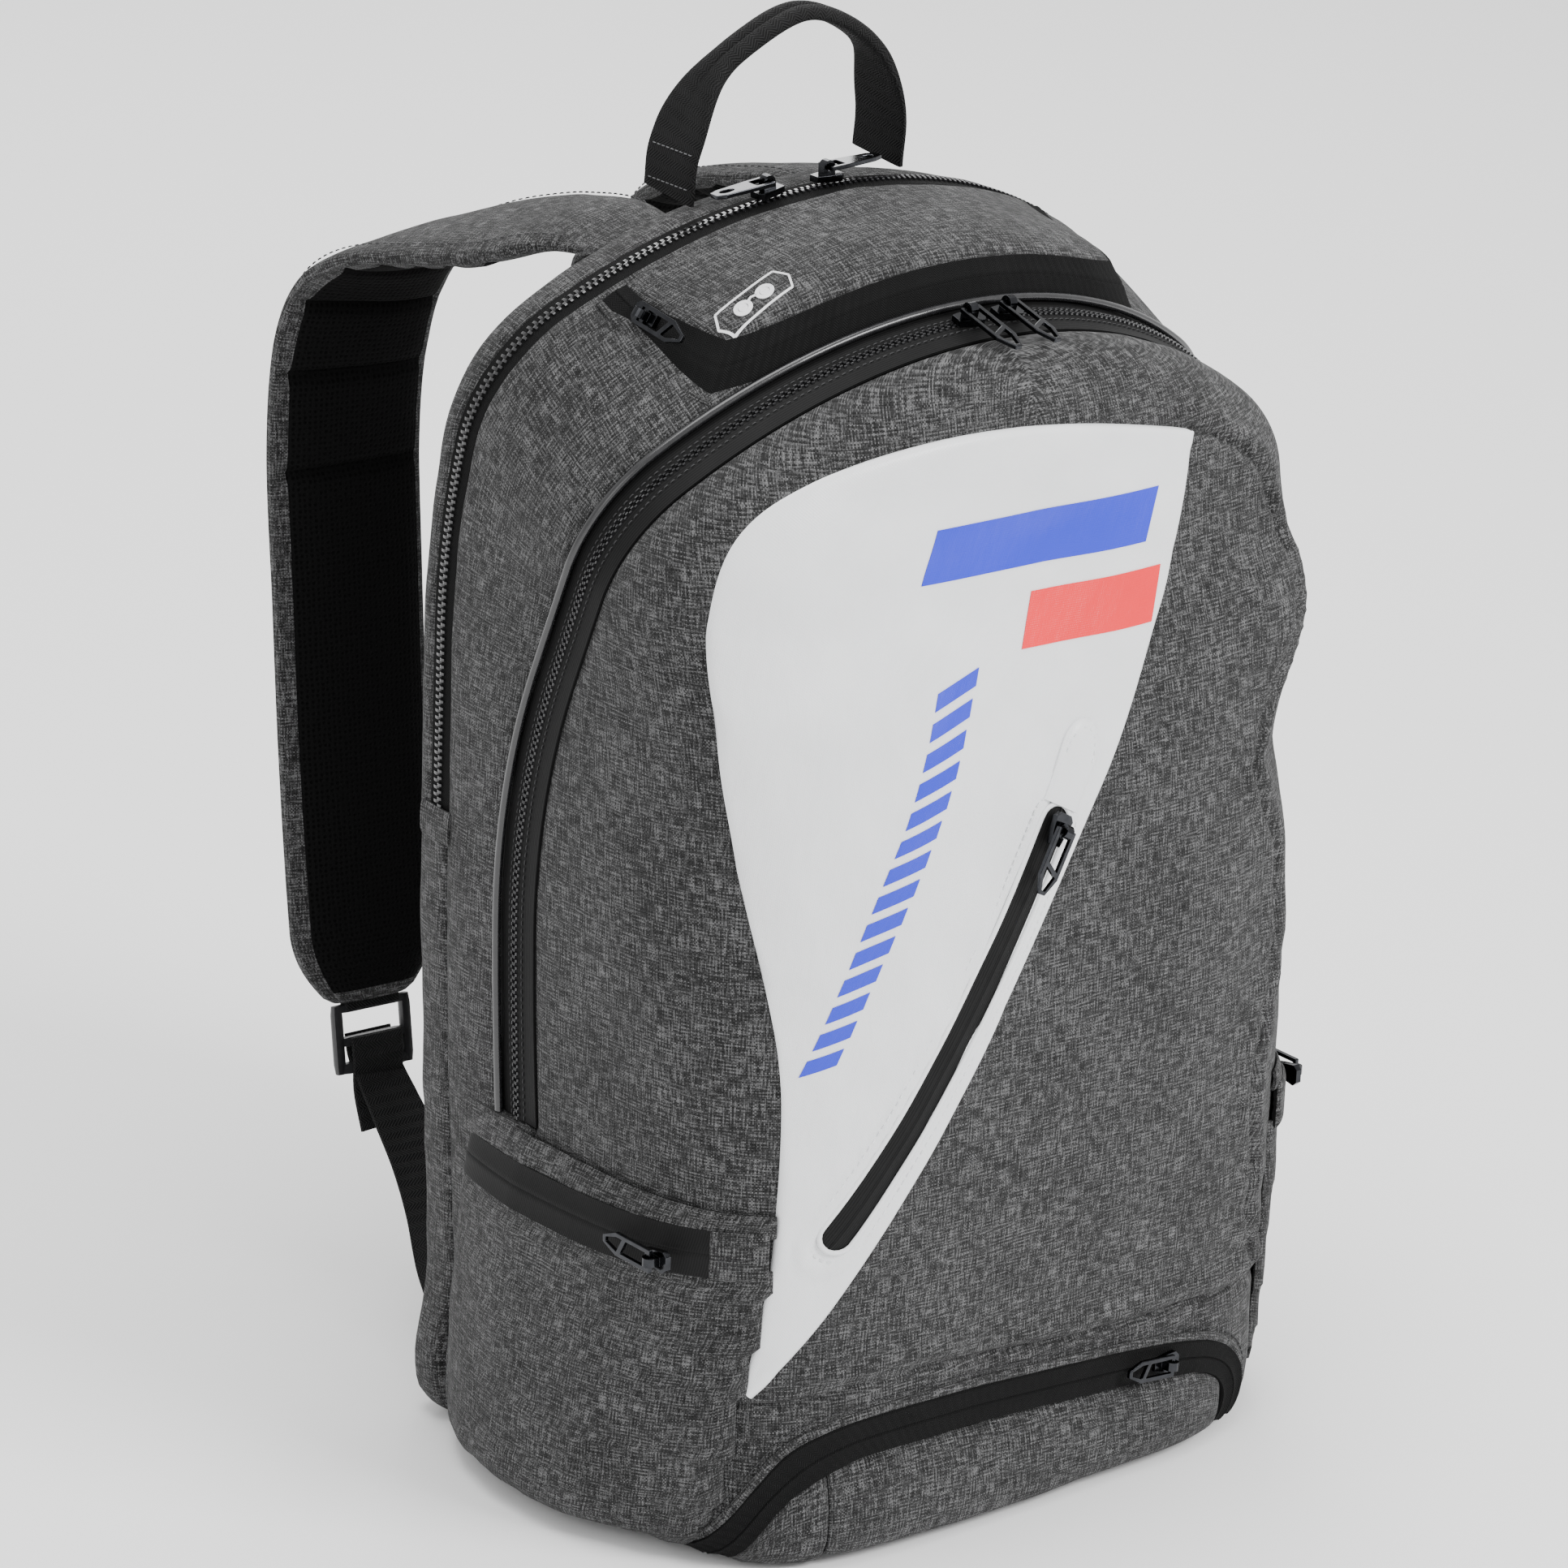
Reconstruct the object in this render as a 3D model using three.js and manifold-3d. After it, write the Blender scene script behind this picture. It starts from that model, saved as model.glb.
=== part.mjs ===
// Racket backpack: a soft bag with a racket sleeve against the back, a main compartment that
// opens with a zipped front lid, an eyewear pocket on top, two side pockets and a shoe
// compartment in the base, carried by two shoulder straps and a grab handle.
// Units are millimetres, +Z is up, the front faces -Y, and the origin is on the floor under
// the middle of the base.

import * as THREE from 'three';
import Module from 'manifold-3d';

const wasm = await Module();
wasm.setup();

// ------------------------------------------------------------------ driving dimensions

const GAP = 0.4;               // clearance between sewn neighbours
const WALL = 3;                // padded fabric wall
const BASE_ROUND = 14;         // radius of the bottom edge
const BASE_THICK = 4;

// Seam arches, from the back edge to the front zip. Each one is drawn flat, as two straight
// sides, two corner arcs and one wide crown arc, and leans forward above bendFrom.
const BEND = { bendFrom: 340, bendRadius: 300 };
const FRONT_BEND = { bendFrom: 240, bendRadius: 280, lean: 22 };
const BACK_EDGE = { ...BEND, y: 105, lean: 12, half: 149, halfBase: 141, top: 506, corner: 65, crown: 235 };
const REAR_ZIP_BACK = { ...BEND, y: 94, lean: 18, half: 153, halfBase: 143, top: 512, corner: 65, crown: 235 };
const REAR_ZIP_FRONT = { ...BEND, y: 82, lean: 20, half: 154, halfBase: 144, top: 513, corner: 65, crown: 235 };
const LID_ZIP_BACK = { ...FRONT_BEND, y: 42, half: 157, halfBase: 146, top: 490, corner: 62, crown: 220 };
const LID_ZIP_FRONT = { ...FRONT_BEND, y: 20, half: 159, halfBase: 147, top: 484, corner: 62, crown: 220 };
const DIVIDER_EDGE = { ...BEND, y: 55, lean: 20, half: 149, halfBase: 136, top: 492, corner: 62, crown: 230 };

const REAR_ZIP_FROM = 262;     // height where the rear zip ends on each side
const LID_ZIP_FROM = 153;      // height where the front zip ends on each side
const LID_FOLD = 152;          // height of the fold under the front lid

const FRONT_Y = -100;          // front face at the base
const FRONT_BULGE = 16;        // how far the front swells half way up
const FRONT_BULGE_HEIGHT = 400;
const FRONT_BELLY = 7;         // extra swell just above the base
const FRONT_BELLY_HEIGHT = 14;
const FRONT_BELLY_REACH = 34;
const FRONT_RECEDE = 14;       // how far the front falls back towards the top
// How square the front corners are in plan, at heights from the base to the top.
const FULLNESS = [[0, 5.5], [60, 5.5], [140, 4.5], [210, 4], [290, 3.6], [350, 3.9], [410, 2.9], [440, 2.6]];
const SPINE_RISE = 0.3;        // how much of the arch's height the spine of the lid follows

const ZIP_THICK = 1.6;
const COIL_WIDTH = 6;
const COIL_RISE = 1.4;
const PIPING_RADIUS = 1.5;

const POCKET_REAR_Y = 70;
const POCKET_FRONT_Y = -85;
const POCKET_TOP = 128;
const POCKET_ZIP_TOP = 140;
const POCKET_BAND_TOP = 151.4;
const POCKET_BULGE = 11;
const POCKET_CLEARANCE = 1;

const TOP_POCKET_HALF = 103;
const TOP_POCKET_REAR = 0.07;  // fractions of the way from the rear zip to the front zip
const TOP_POCKET_FRONT = 0.86;
const TOP_POCKET_RISE = 13;

const SHOE_CEILING = 76;
const SHOE_FLAP_FOOT = 6;
const SHOE_FLAP_LEFT = -104;   // the flap folds along a straight line that ends at this x
const SHOE_FLAP_GAP = 1.3;
const SHOE_ZIP_WIDTH = 14;
// Outer and inner edges of the shoe compartment's zip in x and z, from its left foot to its right.
const SHOE_OUTER = [
  [-143, 6], [-138, 18], [-130, 35], [-119, 50], [-103, 57], [-84, 59.5], [-55, 59.5], [-20, 57.5],
  [20, 55], [55, 52], [80, 48], [98, 43], [111, 34], [117, 23], [116, 14], [113, 6],
];
const SHOE_INNER = [
  [-134, 6], [-130, 14], [-122, 28], [-112, 36.5], [-95, 43], [-78, 44.8], [-52, 44.6], [-18, 43],
  [18, 41], [50, 38.6], [72, 36], [88, 33.5], [99, 28], [104.5, 20], [104, 12], [101, 6],
];
const SHOE_SLIDER = [68, 43.4];

const STRAP_WIDTH = 72;
const STRAP_THICK = 13;
const WEBBING_WIDTH = 25;
const WEBBING_THICK = 1.8;
const LOCK_WIDTH = 38;
const LOCK_HEIGHT = 28;
const LOCK_THICK = 4;

const HANDLE_HALF_SPAN = 53;
const HANDLE_HEIGHT = 69;
const HANDLE_WEBBING = 30;

// Middle line of the left shoulder strap, from its seam at the top of the back to its lower end.
const STRAP_LINE = [
  [-58, 95, 482], [-60, 118, 482], [-64, 150, 473], [-69, 185, 463], [-75, 215, 451], [-79, 237, 432],
  [-81, 248, 404], [-82, 251, 360], [-83, 245, 298], [-85, 237, 238], [-87, 228, 184], [-89, 217, 128],
];
const LOWER_WEBBING_LINE = [
  [-89, 206, 94], [-90, 193, 83], [-94, 172, 69], [-101, 152, 56], [-111, 133, 44], [-119, 117, 37],
];
const ANCHOR = [-121, 34];     // x and z of the lower strap seam on the back

// Slanted front pocket: the bend of its zip in x and z.
const POCKET_ZIP = [[-6, 299], [-47, 223], [-110, 138]];
const POCKET_ZIP_WIDTH = 13;

const SLIDER_LENGTH = 13;
const SLIDER_WIDTH = 9;
const SLIDER_PLATE = 2.6;
const BRIDGE_AXIS = 5.4;       // height of the puller's axis above the tape
const BRIDGE_HOLE = 1.9;
const BRIDGE_WALL = 1;
const BRIDGE_THICK = 3.6;
const PULLER_WIRE = 1.7;
const REAR_SLIDERS = [['rear_left', -7, -1], ['rear_right', 0, 1]];   // degrees round the crown
const FRONT_SLIDERS = [['front_left', -0.5], ['front_right', 4.5]];

// Heights and steps at which the seams and the front skin are drawn.
const UPPER_HEIGHTS = [285, 312, 340, 365, 390];
const SIDE_HEIGHTS = [
  0, 3, 8, BASE_ROUND, 60, 110, LID_ZIP_FROM - 0.5, LID_ZIP_FROM + 0.5, 205, 240,
  REAR_ZIP_FROM - 0.5, REAR_ZIP_FROM + 0.5, ...UPPER_HEIGHTS,
];
const SKIN_HEIGHTS = [0, 3, 8, BASE_ROUND, 36, 60, 110, LID_FOLD, 205, 240, REAR_ZIP_FROM, ...UPPER_HEIGHTS];
const SKIN_COLUMNS = 10;
const CORNER_STEPS = 4;
const CROWN_STEPS = 6;

// ------------------------------------------------------------------ materials

function material(color, roughness, metalness = 0) {
  return new THREE.MeshStandardMaterial({ color, roughness, metalness });
}

const MATERIALS = {
  greyFabric: () => material(0x4b4c4e, 0.9),
  blackFabric: () => material(0x141415, 0.85),
  zipTape: () => material(0x17171a, 0.7),
  coatedZip: () => material(0x1c1c1e, 0.55),
  tarpaulin: () => material(0xe6e7e9, 0.25),
  piping: () => material(0x0b0b0c, 0.25),
  mesh: () => material(0x0f0f10, 0.95),
  plastic: () => material(0x111112, 0.45),
  gunmetal: () => material(0x1a1b1d, 0.25, 0.9),
  webbing: () => material(0x151516, 0.75),
};

const bag = new THREE.Group();

function addNode(name, geometry, finish) {
  const node = new THREE.Mesh(geometry, MATERIALS[finish]());
  node.name = name;
  bag.add(node);
  return node;
}

// ------------------------------------------------------------------ small maths

const at = (x, y, z) => new THREE.Vector3(x, y, z);
const mirrored = (p) => at(-p.x, p.y, p.z);
const radians = THREE.MathUtils.degToRad;
const lerp = THREE.MathUtils.lerp;
const range = (count) => Array.from({ length: count }, (_, i) => i);

function smooth(value) {
  const t = Math.min(1, Math.max(0, value));
  return t * t * (3 - 2 * t);
}

// How far a wall is pulled in by the rounded bottom edge.
function baseInset(height) {
  const rise = Math.max(0, BASE_ROUND - height);
  return BASE_ROUND - Math.sqrt(BASE_ROUND ** 2 - rise ** 2);
}

// ------------------------------------------------------------------ closed bodies

function signedVolume(points, faces) {
  return faces.reduce((sum, [a, b, c]) => {
    const cross = new THREE.Vector3().crossVectors(points[b], points[c]);
    return sum + points[a].dot(cross) / 6;
  }, 0);
}

// Joins equal points and drops the triangles that collapse.
function weld(points, faces) {
  const indexByKey = new Map();
  const unique = [];
  const remap = points.map((p) => {
    const key = [p.x, p.y, p.z].map((v) => Math.round(v * 1e4)).join(',');
    if (!indexByKey.has(key)) {
      indexByKey.set(key, unique.length);
      unique.push(p);
    }
    return indexByKey.get(key);
  });
  const kept = faces
    .map((face) => face.map((i) => remap[i]))
    .filter(([a, b, c]) => a !== b && b !== c && a !== c);
  return { points: unique, faces: kept, remap };
}

function toGeometry(points, faces) {
  const welded = weld(points, faces);
  const flip = signedVolume(welded.points, welded.faces) < 0;
  const geometry = new THREE.BufferGeometry();
  const positions = welded.points.flatMap((p) => [p.x, p.y, p.z]);
  const index = welded.faces.flatMap(([a, b, c]) => (flip ? [a, c, b] : [a, b, c]));
  geometry.setAttribute('position', new THREE.Float32BufferAttribute(positions, 3));
  geometry.setIndex(index);
  geometry.computeVertexNormals();
  return geometry;
}

// Two triangles for each cell of a grid that is stored row by row.
function gridFaces(rows, columns) {
  const faces = [];
  for (let i = 0; i < rows - 1; i += 1) {
    for (let j = 0; j < columns - 1; j += 1) {
      const a = i * columns + j;
      const b = a + columns;
      faces.push([a, b, b + 1], [a, b + 1, a + 1]);
    }
  }
  return faces;
}

// A body swept through sections that all have the same number of points.
function sweep(sections) {
  const count = sections[0].length;
  const points = sections.flat();
  const faces = [];
  for (let i = 0; i < sections.length - 1; i += 1) {
    for (let j = 0; j < count; j += 1) {
      const next = (j + 1) % count;
      const a = i * count + j;
      const b = i * count + next;
      faces.push([a, b, b + count], [a, b + count, a + count]);
    }
  }
  [0, sections.length - 1].forEach((end) => {
    const middle = sections[end].reduce((sum, p) => sum.clone().add(p), at(0, 0, 0));
    points.push(middle.divideScalar(count));
    for (let j = 0; j < count; j += 1) {
      const a = end * count + j;
      const b = end * count + ((j + 1) % count);
      faces.push(end === 0 ? [points.length - 1, b, a] : [points.length - 1, a, b]);
    }
  });
  return toGeometry(points, faces);
}

// A shell between two copies of one surface, closed along every free edge.
function shell(outer, inner, faces) {
  const welded = weld(outer, faces);
  const innerPoints = [];
  welded.remap.forEach((index, i) => {
    innerPoints[index] = inner[i];
  });
  const count = welded.points.length;
  const edges = new Set();
  welded.faces.forEach(([a, b, c]) => {
    [[a, b], [b, c], [c, a]].forEach(([from, to]) => edges.add(`${from},${to}`));
  });
  const all = [...welded.faces, ...welded.faces.map(([a, b, c]) => [a + count, c + count, b + count])];
  edges.forEach((edge) => {
    const [from, to] = edge.split(',').map(Number);
    if (!edges.has(`${to},${from}`)) {
      all.push([to, from, from + count], [to, from + count, to + count]);
    }
  });
  return toGeometry([...welded.points, ...innerPoints], all);
}

function surfaceNormals(points, faces) {
  const welded = weld(points, faces);
  const sums = welded.points.map(() => at(0, 0, 0));
  welded.faces.forEach((face) => {
    const [a, b, c] = face.map((i) => welded.points[i]);
    const normal = b.clone().sub(a).cross(c.clone().sub(a));
    face.forEach((i) => sums[i].add(normal));
  });
  return welded.remap.map((index) => sums[index].clone().normalize());
}

function toManifold(geometry) {
  const { position } = geometry.attributes;
  const points = range(position.count).map((i) => new THREE.Vector3().fromBufferAttribute(position, i));
  const index = geometry.index ? [...geometry.index.array] : range(position.count);
  const faces = range(index.length / 3).map((i) => index.slice(3 * i, 3 * i + 3));
  const welded = weld(points, faces);
  return new wasm.Manifold(new wasm.Mesh({
    numProp: 3,
    vertProperties: new Float32Array(welded.points.flatMap((p) => [p.x, p.y, p.z])),
    triVerts: new Uint32Array(welded.faces.flat()),
  }));
}

function fromManifold(body) {
  const mesh = body.getMesh();
  const geometry = new THREE.BufferGeometry();
  geometry.setAttribute('position', new THREE.BufferAttribute(new Float32Array(mesh.vertProperties), 3));
  geometry.setIndex(Array.from(mesh.triVerts));
  geometry.computeVertexNormals();
  return geometry;
}

// An outline in x and z, as a prism from y = back towards the front.
function prismXZ(shape, back, front, curveSegments = 6) {
  const geometry = new THREE.ExtrudeGeometry(shape, { depth: back - front, bevelEnabled: false, curveSegments });
  geometry.rotateX(Math.PI / 2);
  geometry.translate(0, back, 0);
  return toManifold(geometry);
}

function block(low, high) {
  const size = high.map((v, i) => v - low[i]);
  const geometry = new THREE.BoxGeometry(...size);
  geometry.translate(...low.map((v, i) => v + size[i] / 2));
  return geometry;
}

// ------------------------------------------------------------------ seam arches

class Arch {
  constructor(size) {
    this.size = size;
    const run = size.crown - size.corner;
    this.cornerX = size.half - size.corner;
    this.cornerHeight = size.top - size.crown + Math.sqrt(run ** 2 - this.cornerX ** 2);
    this.crownAngle = Math.asin(this.cornerX / run);
  }

  inset(depth) {
    const { half, halfBase, top, corner, crown } = this.size;
    return new Arch({
      ...this.size,
      half: half - depth,
      halfBase: halfBase - depth,
      top: top - depth,
      corner: corner - depth,
      crown: crown - depth,
    });
  }

  moved(distance) {
    return new Arch({ ...this.size, y: this.size.y + distance });
  }

  halfWidth(height) {
    const { half, halfBase } = this.size;
    return lerp(halfBase, half, smooth(height / 250)) - baseInset(height);
  }

  // The flat drawing's height becomes a place on the line, arc and line of the profile.
  point(x, height) {
    const { y, bendFrom, bendRadius, lean } = this.size;
    const leanAngle = radians(lean);
    const tuck = baseInset(height) * (y / BACK_EDGE.y);
    if (height <= bendFrom) return at(x, y - tuck, height);
    const angle = Math.min(leanAngle, (height - bendFrom) / bendRadius);
    const rest = height - bendFrom - bendRadius * angle;
    return at(
      x,
      y - bendRadius * (1 - Math.cos(angle)) - rest * Math.sin(angle),
      bendFrom + bendRadius * Math.sin(angle) + rest * Math.cos(angle),
    );
  }

  side(height) {
    return this.point(-this.halfWidth(height), height);
  }

  cornerPoint(fraction) {
    const angle = Math.PI - (Math.PI / 2 - this.crownAngle) * fraction;
    const { corner } = this.size;
    return this.point(-this.cornerX + corner * Math.cos(angle), this.cornerHeight + corner * Math.sin(angle));
  }

  // A point of the crown at an angle from the middle of the top, positive to +X.
  crownPoint(angle) {
    const { crown, top } = this.size;
    return this.point(crown * Math.sin(angle), top - crown + crown * Math.cos(angle));
  }

  crownAt(x) {
    return this.crownPoint(Math.asin(x / this.size.crown));
  }

  leftHalf(heights = SIDE_HEIGHTS) {
    return [
      ...heights.map((height) => this.side(height)),
      ...range(CORNER_STEPS).map((k) => this.cornerPoint(k / CORNER_STEPS)),
      ...range(CROWN_STEPS + 1).map((k) => this.crownPoint(-this.crownAngle * (1 - k / CROWN_STEPS))),
    ];
  }

  path(heights = SIDE_HEIGHTS) {
    const left = this.leftHalf(heights);
    return [...left, ...left.slice(0, -1).reverse().map(mirrored)];
  }
}

const backEdge = new Arch(BACK_EDGE);
const rearZipBack = new Arch(REAR_ZIP_BACK);
const rearZipFront = new Arch(REAR_ZIP_FRONT);
const lidZipBack = new Arch(LID_ZIP_BACK);
const lidZipFront = new Arch(LID_ZIP_FRONT);
const dividerEdge = new Arch(DIVIDER_EDGE);

function halfway(first, second) {
  const size = { ...first.size };
  Object.keys(size).forEach((key) => {
    size[key] = (first.size[key] + second.size[key]) / 2;
  });
  return new Arch(size);
}

const rearZipMiddle = halfway(rearZipBack, rearZipFront);
const lidZipMiddle = halfway(lidZipBack, lidZipFront);

// A seam line that follows one arch above a height and another one below it.
function seam(upper, lower = upper, changeHeight = 0) {
  return (depth) => {
    const high = upper.inset(depth).path();
    const low = lower.inset(depth).path();
    const last = high.length - 1;
    return high.map((point, i) => {
      const height = SIDE_HEIGHTS[Math.min(i, last - i)] ?? Infinity;
      return height < changeHeight ? low[i] : point;
    });
  };
}

function partOfPath(points, fromHeight) {
  const skip = SIDE_HEIGHTS.findIndex((height) => height >= fromHeight);
  return points.slice(skip, points.length - skip);
}

// A strip of wall between two seam lines, from one depth under the surface to another.
function band(rear, front, outerDepth, innerDepth, fromHeight = 0) {
  const lines = [rear(outerDepth), front(outerDepth), front(innerDepth), rear(innerDepth)];
  const kept = lines.map((line) => partOfPath(line, fromHeight));
  return sweep(kept[0].map((_, i) => kept.map((line) => line[i])));
}

// A flat panel that fills an arch, from one distance behind its plane to another.
function archPanel(arch, rearOffset, frontOffset, fromHeight) {
  const left = arch.leftHalf().filter((p) => p.z >= fromHeight);
  const rows = left.map((p) => [p, at(0, p.y, p.z), mirrored(p)]);
  const shifted = (offset) => rows.flat().map((p) => at(p.x, p.y + offset, p.z));
  return shell(shifted(rearOffset), shifted(frontOffset), gridFaces(rows.length, 3));
}

// ------------------------------------------------------------------ front skin

function frontY(height) {
  const swell = FRONT_BULGE * Math.sin(Math.PI * Math.min(1, Math.max(0, height / FRONT_BULGE_HEIGHT)));
  const belly = FRONT_BELLY * Math.exp(-(((height - FRONT_BELLY_HEIGHT) / FRONT_BELLY_REACH) ** 2));
  const recede = FRONT_RECEDE * smooth((height - 300) / 115);
  return FRONT_Y - swell - belly + recede + 0.6 * baseInset(height);
}

// The plan of the bag is squarer near the base and rounder near the top.
function planPower(height) {
  const above = FULLNESS.findIndex(([level]) => level > height);
  if (above < 1) return FULLNESS[above < 0 ? FULLNESS.length - 1 : 0][1];
  const [[low, from], [high, to]] = [FULLNESS[above - 1], FULLNESS[above]];
  return lerp(from, to, (height - low) / (high - low));
}

const lidEdge = lidZipFront.moved(-GAP);

// One line of the front skin, from a point of the lid's edge to the spine in the middle.
function skinRow(edgePoint, onSide) {
  const cornerZ = lidEdge.point(0, lidEdge.cornerHeight).z;
  const spineZ = onSide ? edgePoint.z : cornerZ + SPINE_RISE * (edgePoint.z - cornerZ);
  const spineY = frontY(spineZ);
  const power = 2 / planPower(spineZ);
  return range(SKIN_COLUMNS + 1).map((j) => {
    const angle = (j / SKIN_COLUMNS) * (Math.PI / 2);
    const across = j === SKIN_COLUMNS ? 0 : Math.cos(angle) ** power;
    const forward = Math.sin(angle) ** power;
    return at(
      edgePoint.x * across,
      lerp(edgePoint.y, spineY, forward),
      lerp(spineZ, edgePoint.z, across),
    );
  });
}

function frontSkinGrid() {
  const edge = lidEdge.leftHalf(SKIN_HEIGHTS);
  const left = edge.map((p, i) => skinRow(p, i < SKIN_HEIGHTS.length));
  const right = left.slice(0, -1).reverse().map((row) => row.map(mirrored));
  const rows = [...left, ...right];
  const points = rows.flat();
  const faces = gridFaces(rows.length, SKIN_COLUMNS + 1);
  const normals = surfaceNormals(points, faces);
  const middle = 8 * (SKIN_COLUMNS + 1) + SKIN_COLUMNS;
  const sign = normals[middle].y < 0 ? 1 : -1;
  normals.forEach((normal) => normal.multiplyScalar(sign));
  // At the zip the wall's edge is square to the seam, so it is offset in the arch's own plane.
  const outside = lidEdge.inset(-1).leftHalf(SKIN_HEIGHTS);
  const square = outside.map((p, i) => p.clone().sub(edge[i]).normalize());
  [...square, ...square.slice(0, -1).reverse().map(mirrored)].forEach((normal, i) => {
    normals[i * (SKIN_COLUMNS + 1)] = normal;
  });
  return { points, faces, normals };
}

const skinGrid = frontSkinGrid();

// The front skin between two heights above its surface; negative is inside the bag.
function frontSkin(outerOffset, innerOffset) {
  const { points, faces, normals } = skinGrid;
  const shifted = (offset) => points.map((p, i) => p.clone().addScaledVector(normals[i], offset));
  return toManifold(shell(shifted(outerOffset), shifted(innerOffset), faces));
}

// Depth of the front face at a place of the lower and middle front.
function frontSurfaceY(x, z) {
  const half = lidEdge.halfWidth(z);
  const power = planPower(z);
  const forward = (1 - Math.min(1, Math.abs(x) / half) ** power) ** (1 / power);
  return lerp(lidEdge.size.y, frontY(z), forward);
}

// Half width of the bag's side wall at a depth and a height.
function sideHalfWidth(y, z) {
  const widths = [rearZipFront, lidZipFront].map((arch) => arch.halfWidth(z));
  const share = (REAR_ZIP_FRONT.y - y) / (REAR_ZIP_FRONT.y - LID_ZIP_FRONT.y);
  if (y >= LID_ZIP_FRONT.y) return lerp(widths[0], widths[1], Math.max(0, share));
  const forward = (LID_ZIP_FRONT.y - y) / (LID_ZIP_FRONT.y - frontY(z));
  const power = planPower(z);
  return widths[1] * (1 - Math.min(1, forward) ** power) ** (1 / power);
}

// ------------------------------------------------------------------ back and sides

function addBack() {
  const panel = archPanel(backEdge.inset(2.5 + GAP), 0, -8, 0);
  addNode('back_panel', panel, 'blackFabric');
  const gusset = band(
    seam(backEdge),
    seam(rearZipBack.moved(GAP), rearZipFront.moved(GAP), REAR_ZIP_FROM),
    0,
    2.5,
  );
  addNode('rear_gusset', gusset, 'greyFabric');
  addNode('racket_divider', archPanel(dividerEdge, 0, -2.5, 5), 'blackFabric');
}

// The tape lies a little under the fabric, and the coil stands on it along the middle.
function addRearZip() {
  const path = (arch, depth) => partOfPath(arch.inset(depth).path(), REAR_ZIP_FROM);
  const share = (amount) => (a, b) => a.clone().lerp(b, amount);
  const rearTop = path(rearZipBack, 0.3);
  const frontTop = path(rearZipFront, 0.3);
  const coilRear = 0.5 - COIL_WIDTH / 24;
  const coilFront = 0.5 + COIL_WIDTH / 24;
  const raised = (line) => line.map((p, i) => {
    const inward = path(rearZipMiddle, 1)[i].clone().sub(path(rearZipMiddle, 0)[i]);
    return p.clone().addScaledVector(inward, -COIL_RISE);
  });
  const between = (amount) => rearTop.map((p, i) => share(amount)(p, frontTop[i]));
  const lines = [
    rearTop, between(coilRear), raised(between(coilRear + 0.04)), raised(between(coilFront - 0.04)),
    between(coilFront), frontTop, path(rearZipFront, 0.3 + ZIP_THICK), path(rearZipBack, 0.3 + ZIP_THICK),
  ];
  addNode('rear_zip', sweep(lines[0].map((_, i) => lines.map((line) => line[i]))), 'zipTape');
}

function addMainShell() {
  const wall = band(
    seam(rearZipFront.moved(-GAP)),
    seam(lidZipBack.moved(GAP), lidZipFront, LID_ZIP_FROM),
    0,
    WALL,
  );
  addNode('main_shell', wall, 'greyFabric');
}

function addFrontZip() {
  const depths = [0.2, 0.2 + ZIP_THICK];
  const rearHalf = band(seam(lidZipBack), seam(lidZipMiddle.moved(GAP / 2)), ...depths, LID_ZIP_FROM);
  addNode('front_zip_body_tape', rearHalf, 'zipTape');
  const lidHalf = band(seam(lidZipMiddle.moved(-GAP / 2)), seam(lidZipFront), ...depths, LID_ZIP_FROM);
  addNode('front_zip_lid_tape', lidHalf, 'zipTape');
}

// A round cord along the rear seam of the front zip, standing just clear of it.
function addPiping() {
  const line = (depth) => partOfPath(lidZipBack.inset(depth).path(), LID_ZIP_FROM);
  const lift = PIPING_RADIUS + GAP;
  const centres = line(-lift);
  const outside = line(-lift - 1);
  const ahead = partOfPath(lidZipFront.inset(-lift).path(), LID_ZIP_FROM);
  const sections = centres.map((centre, i) => {
    const outward = outside[i].clone().sub(centre).normalize();
    const forward = ahead[i].clone().sub(centre).normalize();
    return range(6).map((k) => {
      const angle = (k / 6) * 2 * Math.PI;
      return centre.clone()
        .addScaledVector(outward, PIPING_RADIUS * Math.cos(angle))
        .addScaledVector(forward, PIPING_RADIUS * Math.sin(angle));
    });
  });
  addNode('front_piping', sweep(sections), 'piping');
}

// ------------------------------------------------------------------ front lid and lower shell

function polygon(points) {
  return new THREE.Shape(points.map(([x, z]) => new THREE.Vector2(x, z)));
}

function ellipse(x, y, radiusX, radiusY, sides) {
  return new THREE.Path(range(sides).map((k) => {
    const angle = (k / sides) * 2 * Math.PI;
    return new THREE.Vector2(x + radiusX * Math.cos(angle), y + radiusY * Math.sin(angle));
  }));
}

// The white sail: a curved left edge, a rounded top corner and a right edge that slants down
// to a tip at the lower left.
function sailShape() {
  const sail = new THREE.Shape();
  sail.moveTo(-136, 70);
  sail.bezierCurveTo(-130, 105, -127, 150, -128, 200);
  sail.bezierCurveTo(-129, 240, -145, 300, -146, 362);
  sail.bezierCurveTo(-147, 410, -138, 424, -98, 437);
  sail.bezierCurveTo(-50, 450, 0, 449, 82, 427);
  sail.bezierCurveTo(77, 402, 68, 380, 57, 364);
  sail.bezierCurveTo(30, 325, 0, 275, -32, 223);
  sail.bezierCurveTo(-48, 190, -100, 118, -136, 70);
  return sail;
}

// The largest body of a solid, without slivers left by a cut.
function mainBody(solid) {
  return solid.decompose().sort((a, b) => b.volume() - a.volume())[0];
}

// The slanted front pocket's zip: a strip with a round end that bows slightly to the right.
const pocketZipLine = new THREE.QuadraticBezierCurve(...POCKET_ZIP.map((p) => new THREE.Vector2(...p)));

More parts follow.
